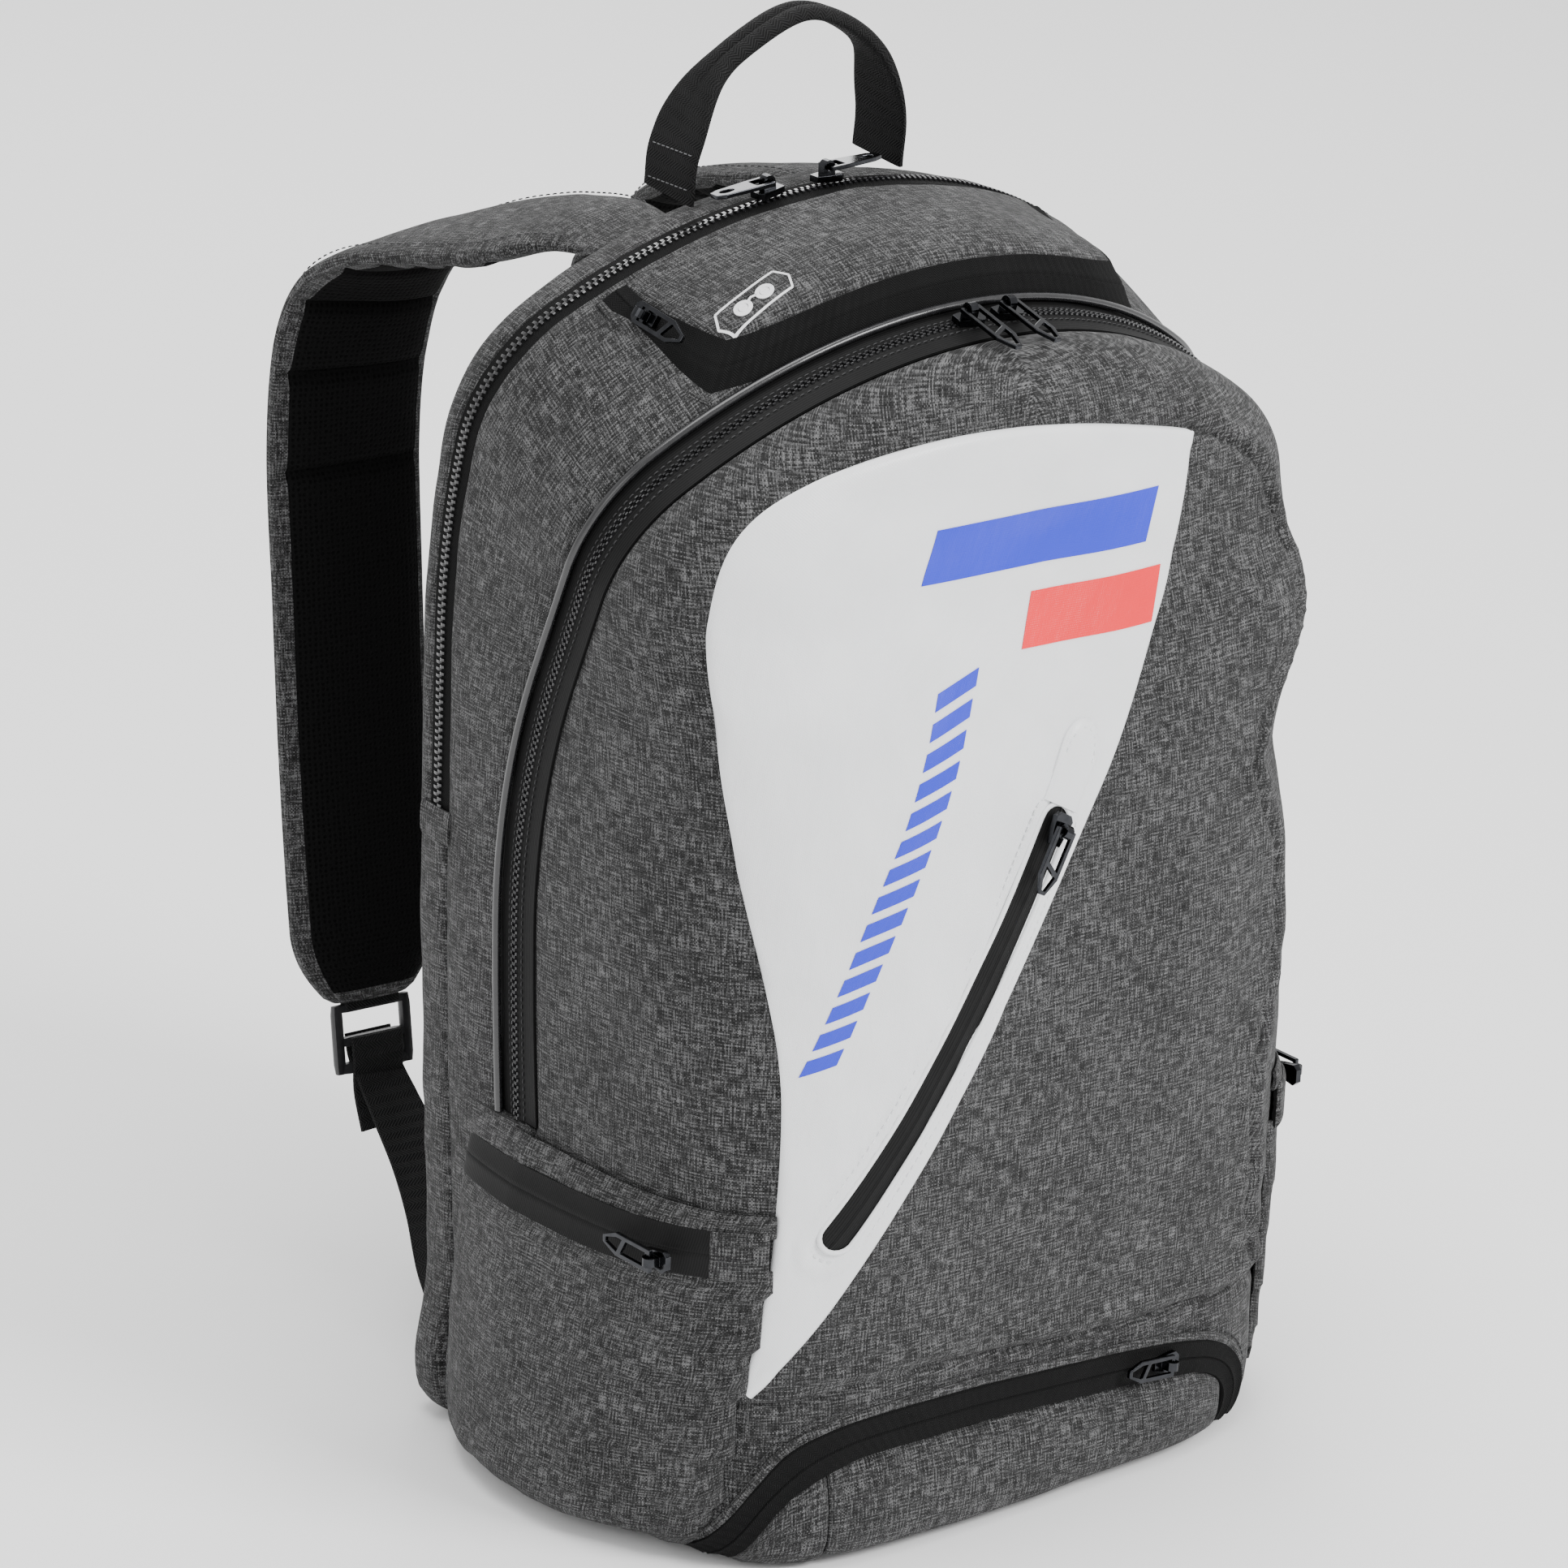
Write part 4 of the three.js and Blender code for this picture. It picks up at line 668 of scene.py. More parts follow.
BACK_EDGE = Arch(105, 149, 141, 506, 65, 235, lean=12, **BEND)
REAR_ZIP_BACK = Arch(94, 153, 143, 512, 65, 235, lean=18, **BEND)
REAR_ZIP_FRONT = Arch(82, 154, 144, 513, 65, 235, lean=20, **BEND)
LID_ZIP_BACK = Arch(42, 157, 146, 490, 62, 220, **FRONT_BEND)
LID_ZIP_FRONT = Arch(20, 159, 147, 484, 62, 220, **FRONT_BEND)
DIVIDER_EDGE = Arch(55, 149, 136, 492, 62, 230, lean=20, **BEND)

SIDE_HEIGHTS = np.array(sorted(
    {0, 1.5, 3, 5, 8, 11, 14, 63, 65, 66.5, 69.5, 71, 73}
    | {REAR_ZIP_FROM - 0.5, REAR_ZIP_FROM + 0.5, LID_ZIP_FROM - 0.5, LID_ZIP_FROM + 0.5}
    | set(range(20, 146, 6)) | set(range(144, 172, 3)) | set(range(172, 258, 6))
    | set(range(266, 386, 6)) | {382}
))
UPPER = SIDE_HEIGHTS[SIDE_HEIGHTS > REAR_ZIP_FROM]
LID_HEIGHTS = SIDE_HEIGHTS[SIDE_HEIGHTS > LID_ZIP_FROM]


def seam(upper, lower=None, change=0):
    """A seam line that follows one arch above a height and another one below it."""
    high = upper.path(SIDE_HEIGHTS)
    if lower is None:
        return high
    low = lower.path(SIDE_HEIGHTS)
    count = int(np.sum(SIDE_HEIGHTS < change))
    high[:count] = low[:count]
    high[-count:] = low[-count:]
    return high


def edge_shares(width, spacing=5):
    """Shares across a strip, closer together beside its two seams."""
    near = np.array([0, 0.5, 1.2, 2.2, 3.6])
    inner = np.arange(5.5, width / 2, spacing)
    half = np.concatenate([near, inner])
    return np.concatenate([half, [width / 2], width - half[::-1]]) / width


def strip_grid(rear, front, shares):
    return rear[:, None] + (front - rear)[:, None] * np.asarray(shares)[None, :, None]


def seam_shape(grid, puff, tuck=1.6, sharpness=2.0, pucker=0.7, seed=0):
    """How far cloth between two long seams stands out: full in the middle, drawn in and
    puckered at the seams, with a few soft folds."""
    across = np.stack([lengths_along(row) for row in grid])
    width = across[:, -1:]
    near = np.minimum(across, width - across)
    swell = puff * np.sin(np.pi * np.clip(across / width, 0, 1)).clip(0) ** 0.6
    drawn = -tuck * np.exp(-near / sharpness)
    gathers = pucker * lumps(grid * np.array([1, 0.7, 1]), 13, seed) * np.exp(-near / 9)
    folds = 1.1 * lumps(grid, 55, seed + 3) + 0.45 * lumps(grid, 24, seed + 7)
    # The loaded base makes the walls bag out low down.
    height = grid[..., 2]
    folds = folds + 6.5 * np.exp(-((height - 24) / 26) ** 2) * smooth(height / 10)
    return swell + drawn + (gathers + folds) * (1 - np.exp(-near / 1.5))


def raised(grid, amount, outward=(0, 0, 250)):
    return grid + grid_normals(grid, outward) * np.asarray(amount)[..., None]


# ------------------------------------------------------------------ back and sides

def ring_cloth(name, rear, front, width, puff, finishes, thick=2.4, seed=0, pucker=0.7):
    """Cloth between two long seams, from the base up one side, over the top and down again."""
    grid = strip_grid(rear, front, edge_shares(width))
    return cloth(name, raised(grid, seam_shape(grid, puff, seed=seed, pucker=pucker)), thick, finishes)


def make_back_and_sides():
    rear = seam(BACK_EDGE)
    front = seam(REAR_ZIP_BACK.moved(GAP), REAR_ZIP_FRONT.moved(GAP), REAR_ZIP_FROM)
    finishes = ["grey", "lining"]
    gusset = ring_cloth("rear_gusset_cloth", rear, front, 20, 1.2, finishes, 2.2, seed=5, pucker=1.0)
    piece(gusset, "root", "grey_fabric", "rear_gusset")
    rear = seam(REAR_ZIP_FRONT.moved(-GAP))
    front = seam(LID_ZIP_BACK.moved(GAP), LID_ZIP_FRONT, LID_ZIP_FROM)
    wall = ring_cloth("side_wall_cloth", rear, front, 56, 2.2, finishes, 2.8, seed=9)
    piece(wall, "root", "grey_fabric", "main_shell")


def coil_teeth(name, line, ahead, outward, pitch=1.45, reach=2.7):
    """Teeth of a coil along a line, leaning alternately to each side of it."""
    run = lengths_along(line)
    count = int(run[-1] / pitch)
    points, faces, uvs = [], [], []
    profile = [(-0.15, 0.0), (0.1, 0.85), (0.55, 1.0), (1.0, 0.55), (1.0, 0.0)]
    for k in range(count):
        place = (k + 0.5) * pitch
        centre = between(place, run, line)
        side, up = unit(between(place, run, ahead)), unit(between(place, run, outward))
        along = unit(np.cross(side, up))
        turn = 1 if k % 2 else -1
        base = len(points)
        for step in (-0.36, 0.36):
            for reach_share, rise in profile:
                points.append(
                    centre + side * turn * reach * reach_share + up * 1.15 * rise
                    + along * (step * pitch * 1.35 * (1 - 0.25 * reach_share))
                )
        size = len(profile)
        for i in range(size - 1):
            faces.append([base + i, base + i + 1, base + size + i + 1, base + size + i])
            uvs.extend(UNIT_SQUARE)
        for start in (0, size):
            ring = [base + start + i for i in range(size)]
            faces.append(ring if start else ring[::-1])
            uvs.extend([(0, 0)] * size)
        faces.append([base, base + size, base + 2 * size - 1, base + size - 1])
        uvs.extend(UNIT_SQUARE)
    made = add_object(name, np.array(points), faces, uvs, ["teeth"], [0] * len(faces), 50)
    turn_faces_out(made.data)
    return made


def turn_faces_out(mesh):
    """Turns every face of a closed mesh outwards."""
    work = bmesh.new()
    work.from_mesh(mesh)
    bmesh.ops.recalc_face_normals(work, faces=work.faces)
    work.to_mesh(mesh)
    work.free()


def zip_lines(rear, front, heights):
    """A zip's rear line, its front line and the outward direction."""
    back_line, front_line = rear.path(heights), front.path(heights)
    outer = rear.inset(-5).path(heights)
    outward = unit(outer - rear.path(heights))
    return back_line, front_line, outward


def make_rear_zip():
    back_line, front_line, outward = zip_lines(REAR_ZIP_BACK, REAR_ZIP_FRONT, UPPER)
    shares = np.array([-0.06, 0.02, 0.15, 0.3, 0.38, 0.5, 0.62, 0.7, 0.85, 0.98, 1.06])
    grid = strip_grid(back_line, front_line, shares)
    height = np.array([-1.2, -1.0, -0.9, -0.8, -0.5, -0.4, -0.5, -0.8, -0.9, -1.0, -1.2])
    grid = grid + outward[:, None] * height[None, :, None]
    tape = cloth("rear_zip_tape", grid, 1.0, ["tape", "tape"])
    middle = (back_line + front_line) / 2
    coil = coil_teeth("rear_zip_coil", middle - outward * 0.45, front_line - back_line, outward)
    piece(tape, "root", "zip_tape", "rear_zip")
    piece(coil, "root", "zip_tape")
    # Where the zip ends, the cloth is folded over it and sewn across.
    for side, name in ((-1, "left"), (1, "right")):
        edge = [REAR_ZIP_BACK.inset(-0.4), REAR_ZIP_FRONT.inset(-0.4)]
        rows = []
        for height in np.linspace(REAR_ZIP_FROM - 9, REAR_ZIP_FROM + 5, 8):
            ends = [arch.point(-arch.half_width(height), height) for arch in edge]
            row = [lerp(ends[0], ends[1], s) for s in np.linspace(-0.35, 1.35, 12)]
            rows.append(row)
        grid = np.array(rows)
        grid[..., 0] -= 0.9 * np.sin(np.linspace(0, math.pi, 8))[:, None] ** 0.4 + 0.4
        if side > 0:
            grid = mirror(grid)[:, ::-1]
        patch = cloth(f"{name}_zip_end_patch", grid, 1.4, ["grey", "grey"])
        piece(patch, "root", "grey_fabric")


def make_front_zip():
    back_line, front_line, outward = zip_lines(LID_ZIP_BACK, LID_ZIP_FRONT, LID_HEIGHTS)
    halves = (
        ("front_zip_body_cloth", -0.05, 0.492, "root", "front_zip_body_tape"),
        ("front_zip_lid_cloth", 0.508, 1.05, "front_lid", "front_zip_lid_tape"),
    )
    for name, start, end, body, cad in halves:
        shares = np.linspace(start, end, 10)
        grid = strip_grid(back_line, front_line, shares)
        near = np.abs(shares - 0.5) * 22
        # A flat film over the coil, which lifts it along the middle of the zip.
        height = -0.9 + 1.1 * np.exp(-((near / 3.2) ** 2)) - 0.9 * np.exp(-near / 0.5)
        grid = grid + outward[:, None] * height[None, :, None]
        piece(cloth(name, grid, 1.3, ["coated", "tape"]), body, "zip_tape", cad)
    middle = (back_line + front_line) / 2
    sides = (("body", -1, "root"), ("lid", 1, "front_lid"))
    for name, turn, body in sides:
        line = middle + unit(front_line - back_line) * turn * 1.0 + outward * -0.35
        teeth = coil_teeth(
            f"front_zip_{name}_teeth", line, (front_line - back_line) * turn, outward, 1.5, 0.9,
        )
        piece(teeth, body, "zip_tape")
        seam_line = strip_grid(back_line, front_line, [0.5 + turn * 0.2])[:, 0] + outward * -0.55
        thread = stitches(f"front_zip_{name}_thread", seam_line, outward, "thread", 3.2, 2.2, 0.45, 0.3)
        piece(thread, body, "zip_tape")
    # Vinyl piping along the rear seam of the zip: a round cord.
    centre = LID_ZIP_BACK.inset(-1.3).path(LID_HEIGHTS)
    forward = unit(front_line - back_line)
    rings = []
    for k in range(14):
        angle = 2 * math.pi * k / 14
        rings.append(centre + outward * 1.7 * math.cos(angle) + forward * (1.9 * math.sin(angle) - 0.3))
    piping = tube("front_piping_cord", np.stack(rings, axis=1), ["piping"])
    piece(piping, "root", "piping", "front_piping")


# ------------------------------------------------------------------ front skin

FRONT_Y = -100
LID_EDGE = LID_ZIP_FRONT.moved(-GAP)
HALF_COLUMNS = 92


def front_y(height):
    height = np.asarray(height, float)
    swell = 16 * np.sin(np.pi * np.clip(height / 400, 0, 1)) + 7 * np.exp(-((height - 14) / 34) ** 2)
    return FRONT_Y - swell + 14 * smooth((height - 300) / 115) + 0.6 * base_inset(height)


# How square the front corners are in plan, at heights from the base to the top.
FULLNESS = ((0, 5.5), (60, 5.5), (140, 4.5), (210, 4.0), (290, 3.6), (350, 3.9), (410, 2.9), (440, 2.6))


def plan_power(height):
    return np.interp(height, *zip(*FULLNESS))


def rounded_quarter(power, count, wide, deep):
    """Points of a rounded corner, from (1, 0) to (0, 1), evenly spaced along its real length."""
    angle = np.linspace(0, math.pi / 2, 160)
    reach = (np.cos(angle) ** power + np.sin(angle) ** power) ** (-1 / power)
    line = np.stack([np.cos(angle) * reach * wide, np.sin(angle) * reach * deep], axis=1)
    return resample(line, count) / np.array([wide, deep])


def skin_grid():
    """Rows from the bottom to the top; each crosses the bag from its left to its right edge."""
    edge = LID_EDGE.left_half(SIDE_HEIGHTS)
    corner_z = LID_EDGE.point(0, LID_EDGE.corner_height)[2]
    rows = []
    for place in edge:
        spine_z = place[2] if place[2] <= corner_z else corner_z + SPINE_RISE * (place[2] - corner_z)
        spine_y = float(front_y(spine_z))
        power = float(plan_power(spine_z))
        across, ahead = rounded_quarter(power, HALF_COLUMNS, max(1, -place[0]), place[1] - spine_y).T
        x = place[0] * across
        y = lerp(place[1], spine_y, ahead)
        z = lerp(spine_z, place[2], across)
        left = np.stack([x, y, z], axis=1)
        rows.append(np.vstack([left, mirror(left[:-1][::-1])]))
    return np.array(rows)


def skin_shape(grid):
    """Soft folds of the front, and its seams drawn in at the zip."""
    across = np.stack([lengths_along(row) for row in grid])
    near = np.minimum(across, across[:, -1:] - across)
    x, y, z = grid[..., 0], grid[..., 1], grid[..., 2]
    on_lid = smooth((z - 146) / 10)
    drawn = -2.6 * np.exp(-near / 3.4) * on_lid
    gathers = 0.6 * lumps(grid, 14, 2) * np.exp(-near / 10) * on_lid
    folds = 1.3 * lumps(grid, 70, 4) + 0.5 * lumps(grid, 27, 6)
    # The right-hand corner seam is drawn in and puckered, and the cloth bags out beside it.
    seam_line = spline(RIGHT_SEAM, 260)
    offset = np.linalg.norm(grid[:, :, None, [0, 2]] - seam_line[None, None, ::2], axis=-1).min(axis=-1)
    beside = x > np.interp(z, *zip(*sorted((p[1], p[0]) for p in RIGHT_SEAM)))
    near_seam = (x > 70) * smooth((z - 66) / 6)
    puckers = -2.6 * np.exp(-((offset / 1.9) ** 2)) + 1.7 * np.exp(-(((offset - 5) / 3.6) ** 2))
    puckers = puckers + np.exp(-offset / 12) * 0.9 * np.sin(z / 4.3 + 1.7 * np.sin(z / 15))
    puckers = (puckers + 1.2 * beside * np.exp(-(((offset - 9) / 7) ** 2))) * near_seam
    bagging = 5.0 * np.exp(-(((z - 348) / 20) ** 2)) - 3.5 * np.exp(-(((z - 292) / 20) ** 2))
    puckers = puckers + bagging * smooth((x - 96) / 32) * smooth((20 - y) / 40)
    # A horizontal seam runs above the shoe compartment.
    line = shoe_seam_height(x)
    groove = -2.6 * np.exp(-((z - line) / 1.6) ** 2) + 1.6 * np.exp(-((z - line - 6) / 4.5) ** 2)
    groove = groove * smooth((-40 - y) / 20)
    return (folds + gathers) * (1 - np.exp(-near / 2)) + drawn + puckers + groove


# The seam down the right of the front panel, as (x, z) places.
RIGHT_SEAM = (
    (84, 428), (100, 421), (116, 410), (125, 399), (130, 385), (135, 369), (136, 350), (129, 334),
    (119, 318), (110, 303), (106, 288), (114, 270), (122, 242), (120, 205), (113, 174), (110, 143),
    (116, 118), (114, 100), (119, 84), (124, 66),
)
SHOE_SEAM = ((-137, 70), (-75, 76), (-33, 72), (20, 66.5), (75, 65), (118, 63))


def shoe_seam_height(x):
    """Height of the seam that crosses the front above the shoe compartment."""
    return np.interp(x, *zip(*SHOE_SEAM))


def surface_tree(grid):
    """A tree of a surface, for laying print and trim on it."""
    quads = grid_quads(*grid.shape[:2]).tolist()
    return BVHTree.FromPolygons([Vector(p) for p in grid.reshape(-1, 3)], [tuple(q) for q in quads])


class Front:
    """The finished front surface, which other pieces are laid on."""

    def __init__(self, grid):
        self.tree = surface_tree(grid)

    def at(self, x, z):
        """The point in front of (x, z) and the surface normal there."""
        hit, normal, _, _ = self.tree.ray_cast(Vector((x, -300, z)), Vector((0, 1, 0)))
        if hit is None:
            hit, normal, _, _ = self.tree.find_nearest(Vector((x, -90, z)))
        normal = normal if normal.y < 0 else -normal
        return np.array(hit), np.array(normal)

    def lay(self, flat, lift=0.0):
        """Points of the surface in front of a grid of (x, z) places, raised by `lift`."""
        shape = flat.shape[:-1]
        lift = np.broadcast_to(lift, shape).ravel()
        points, normals = [], []
        for x, z in flat.reshape(-1, 2):
            place, normal = self.at(x, z)
            points.append(place)
            normals.append(normal)
        points, normals = np.array(points), np.array(normals)
        smoothed = unit(normals)
        laid = points + smoothed * lift[:, None]
        return laid.reshape(*shape, 3), smoothed.reshape(*shape, 3)


# Outer and inner edges of the shoe compartment's zip, from its left foot to its right foot.
SHOE_OUTER = (
    (-143, 6), (-138, 18), (-130, 35), (-119, 50), (-103, 57), (-84, 59.5), (-55, 59.5), (-20, 57.5),
    (20, 55), (55, 52), (80, 48), (98, 43), (111, 34), (117, 23), (116, 14), (113, 6),
)
SHOE_INNER = (
    (-134, 6), (-130, 14), (-122, 28), (-112, 36.5), (-95, 43), (-78, 44.8), (-52, 44.6), (-18, 43),
    (18, 41), (50, 38.6), (72, 36), (88, 33.5), (99, 28), (104.5, 20), (104, 12), (101, 6),
)
SHOE_ZIP_WIDTH = 14
SHOE_FLAP_LEFT = -104


def shoe_outline(inset, count=160):
    """The edge of the shoe opening, moved in by part of the width of its zip."""
    outer, inner = np.array(SHOE_OUTER, float), np.array(SHOE_INNER, float)
    return spline(lerp(outer, inner, inset / SHOE_ZIP_WIDTH), count)


def inside(outline, x, z):
    """Which places lie inside a closed outline."""
    found = np.zeros(np.shape(x), bool)
    for (x0, z0), (x1, z1) in zip(outline, np.roll(outline, -1, axis=0)):
        crosses = (z0 > z) != (z1 > z)
        with np.errstate(divide="ignore", invalid="ignore"):
            hit = x < (x1 - x0) * (z - z0) / (z1 - z0) + x0
        found ^= crosses & hit
    return found


def make_front():
    base = skin_grid()
    grid = raised(base, skin_shape(base))
    front = Front(grid)
    opening = shoe_outline(5)
    centres = (grid[:-1, :-1] + grid[1:, :-1] + grid[:-1, 1:] + grid[1:, 1:]) / 4
    hole = inside(opening, centres[..., 0], centres[..., 2]) & (centres[..., 1] < -55)
    # The rim of the hole follows the opening's outline, not the edges of the grid.
    keep = ~hole
    held = np.zeros(grid.shape[:2], int)
    gone = np.zeros(grid.shape[:2], int)
    for di in (0, 1):
        for dj in (0, 1):
            held[di:grid.shape[0] - 1 + di, dj:grid.shape[1] - 1 + dj] += keep
            gone[di:grid.shape[0] - 1 + di, dj:grid.shape[1] - 1 + dj] += hole
    for i, j in zip(*np.nonzero((held > 0) & (gone > 0))):
        gaps = opening - grid[i, j][[0, 2]]
        x, z = opening[np.argmin(np.sum(gaps ** 2, axis=1))]
        grid[i, j] = front.at(x, z)[0]
    # The weave runs level across the front, whatever the rows of the grid do.
    plan = np.hypot(np.diff(base[..., 0], axis=1), np.diff(base[..., 1], axis=1))
    across = np.concatenate([np.zeros((len(base), 1)), np.cumsum(plan, axis=1)], axis=1)
    across = across - across[:, across.shape[1] // 2][:, None]
    weave = np.stack([across, base[..., 2]], axis=-1)
    skin = cloth("front_cloth", grid, WALL, ["grey", "lining"], keep=keep, uv=weave)
    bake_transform(skin)
    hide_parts("front_panel", "lower_shell")
    return front


# ------------------------------------------------------------------ white panel and its print

def bezier(points, count):
    a, b, c, d = (np.array(p, float) for p in points)
    t = np.linspace(0, 1, count)[:, None]
    return (1 - t) ** 3 * a + 3 * t * (1 - t) ** 2 * b + 3 * t * t * (1 - t) * c + t ** 3 * d


SAIL_TIP = (-136, 70)
SAIL_HEAD = (82, 427)
SAIL_LEFT = (
    (SAIL_TIP, (-130, 105), (-127, 150), (-128, 200)),
    ((-128, 200), (-129, 240), (-145, 300), (-146, 362)),
    ((-146, 362), (-147, 410), (-138, 424), (-98, 437)),
    ((-98, 437), (-50, 450), (0, 449), SAIL_HEAD),
)
SAIL_RIGHT = (
    (SAIL_TIP, (-100, 118), (-48, 190), (-32, 223)),
    ((-32, 223), (0, 275), (30, 325), (57, 364)),
    ((57, 364), (68, 380), (77, 402), SAIL_HEAD),
)
POCKET_ZIP = ((-6, 299), (-47, 223), (-110, 138))
POCKET_ZIP_HALF = 6.5


def chain(curves, count):
    return resample(np.vstack([bezier(curve, 80) for curve in curves]), count)


def rim_shares(count, near=(0, 0.006, 0.014, 0.026, 0.045)):
    inner = np.linspace(0.075, 0.925, count)
    return np.concatenate([near, inner, 1 - np.array(near[::-1])])


def quadratic(points, count):
    a, b, c = (np.array(p, float) for p in points)
    t = np.linspace(0, 1, count)[:, None]
    return (1 - t) ** 2 * a + 2 * t * (1 - t) * b + t * t * c


def flat_frame(line):
    """Directions along and across a flat line at each of its points."""
    tangent = unit(np.gradient(line, axis=0))
    return tangent, np.stack([-tangent[:, 1], tangent[:, 0]], axis=1)


def capsule(line, half, count=17):
    """Cross rows of a strip with a round start and end, along a line of (x, z) points."""
    run = lengths_along(line)
    _, side = flat_frame(line)
    rows = []
    for k in range(len(line)):
        rest = min(run[k], run[-1] - run[k])
        width = half * math.sqrt(max(0.0, 1 - (1 - min(1, rest / half)) ** 2))
        rows.append([line[k] + side[k] * width * s for s in np.linspace(-1, 1, count)])
    return np.array(rows)


def round_line(line, half, ends=9):
    """The strip's middle line, with points packed closer where its ends turn round."""
    run = lengths_along(line)
    start = half * (1 - np.cos(np.linspace(0, math.pi / 2, ends)))
    places = np.concatenate([start, np.linspace(half, run[-1] - half, 70)[1:-1], run[-1] - start[::-1]])
    return np.stack([np.interp(places, run, line[:, k]) for k in range(2)], axis=1)


def make_white_panel(front):
    left, right = chain(SAIL_LEFT, 150), chain(SAIL_RIGHT, 150)
    shares = rim_shares(30)
    flat = left[:, None] + (right - left)[:, None] * shares[None, :, None]
    flat = flat[2:-1]
    x, z = flat[..., 0], flat[..., 1]
    width = np.linalg.norm(flat[:, -1] - flat[:, 0], axis=-1)[:, None]
    near = np.minimum(shares, 1 - shares)[None, :] * width
    zip_line = quadratic(POCKET_ZIP, 60)
    gap = np.min(np.linalg.norm(flat[:, :, None] - zip_line[None, None], axis=-1), axis=-1)
    ridge = 1.3 * np.exp(-((gap - 9.2) / 2.6) ** 2) - 0.5 * np.exp(-((gap - 13.5) / 1.2) ** 2)
    spots = np.stack([x, np.zeros_like(x), z], axis=-1)
    # Creases run in from the curved left edge, where the coated cloth is gathered.
    from_left = shares[None, :] * width
    creases = 2.4 * lumps(spots * np.array([0.22, 1, 1]), 14, 21) * np.exp(-from_left / 20)
    waves = 1.1 * lumps(spots * np.array([1, 1, 0.45]), 34, 23)
    lift = 2.0 - 1.9 * np.exp(-near / 1.1) + (creases + waves) * (1 - np.exp(-near / 3)) + ridge
    # The panel is pulled flat along the slanted zip.
    lift = lerp(lift, 1.4 + ridge, np.exp(-((gap / 12) ** 2)))
    grid, normals = front.lay(flat, np.maximum(lift, 1.1 - 0.9 * np.exp(-near / 2)))
    panel = cloth("white_panel_cloth", grid, 0.9, ["white", "white"], normals=normals)
    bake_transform(panel)
    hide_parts("white_panel", "white_panel_tip")
    lay_print(Front(grid))
    make_slanted_zip(front, zip_line)


def lay_polygon(front, name, corners, finish, lift, body, slot, steps=14):
    """A printed four-sided shape, laid on the surface as a very thin film."""
    a, b, c, d = (np.array(p, float) for p in corners)
    u, v = np.meshgrid(np.linspace(0, 1, steps), np.linspace(0, 1, steps))
    u, v = u[..., None], v[..., None]
    flat = (1 - v) * ((1 - u) * a + u * b) + v * ((1 - u) * d + u * c)
    grid, normals = front.lay(flat, lift)
    return piece(cloth(name, grid, 0.25, [finish, finish], normals=normals), body, slot)


def lay_print(front):
    """Generic print: two slanted bars and a line of plain dashes."""
    lift = 0.35
    slant = np.array([-9.0, -20.0])
    bars = (("upper_bar", "blue", (-52, 412), 112), ("lower_bar", "red", (-8, 381), 66))
    for name, finish, start, length in bars:
        head = np.array(start, float)
        end = head + np.array([length, -0.02 * length])
        corners = (head, end, end + slant, head + slant)
        lay_polygon(front, name, corners, finish, lift, "front_lid", "white_tarpaulin")
    start, end = np.array([-60.0, 352.0]), np.array([-125.0, 206.0])
    along = unit(end - start)
    length = np.linalg.norm(end - start)
    across = np.array([0.96, 0.28])
    for k in range(14):
        place = start + along * (length * k / 14)
        reach = across * (22 - 0.6 * k)
        corners = (place, place + reach, place + reach + along * 7, place + along * 7)
        lay_polygon(front, f"dash_{k:02d}", corners, "blue", lift, "front_lid", "white_tarpaulin", 6)


def make_slanted_zip(front, zip_line):
    line = round_line(zip_line, POCKET_ZIP_HALF)
    flat = capsule(line, POCKET_ZIP_HALF)
    share = np.linspace(-1, 1, flat.shape[1])
    reach = share * POCKET_ZIP_HALF
    crown = 0.9 * np.exp(-((reach / 3.0) ** 2)) - 0.6 * np.exp(-((reach / 0.5) ** 2))
    grid, normals = front.lay(flat, 2.1 + crown[None, :])
    film = cloth("slanted_zip_film", grid, 1.4, ["coated", "coated"], normals=normals)
    piece(film, "front_lid", "coated_zip", "front_pocket_zip")
    place, facing = front.lay(outline_round(zip_line, POCKET_ZIP_HALF + 0.9), 2.6)
    forward = unit(np.roll(place, -1, axis=0) - np.roll(place, 1, axis=0))
    side = np.cross(facing, forward)
    rim = tube("slanted_zip_rim", cord_rings(place, side, facing, 1.1, 0.75), ["white"], closed=True)
    piece(rim, "front_lid", "white_tarpaulin")
    place, facing = front.lay(outline_round(zip_line, POCKET_ZIP_HALF + 5.2), 1.9)
    row = stitches("slanted_zip_thread", place, facing, "thread_white", 3.4, 2.4, 0.6, 0.45)
    piece(row, "front_lid", "white_tarpaulin")
    make_garage(front)


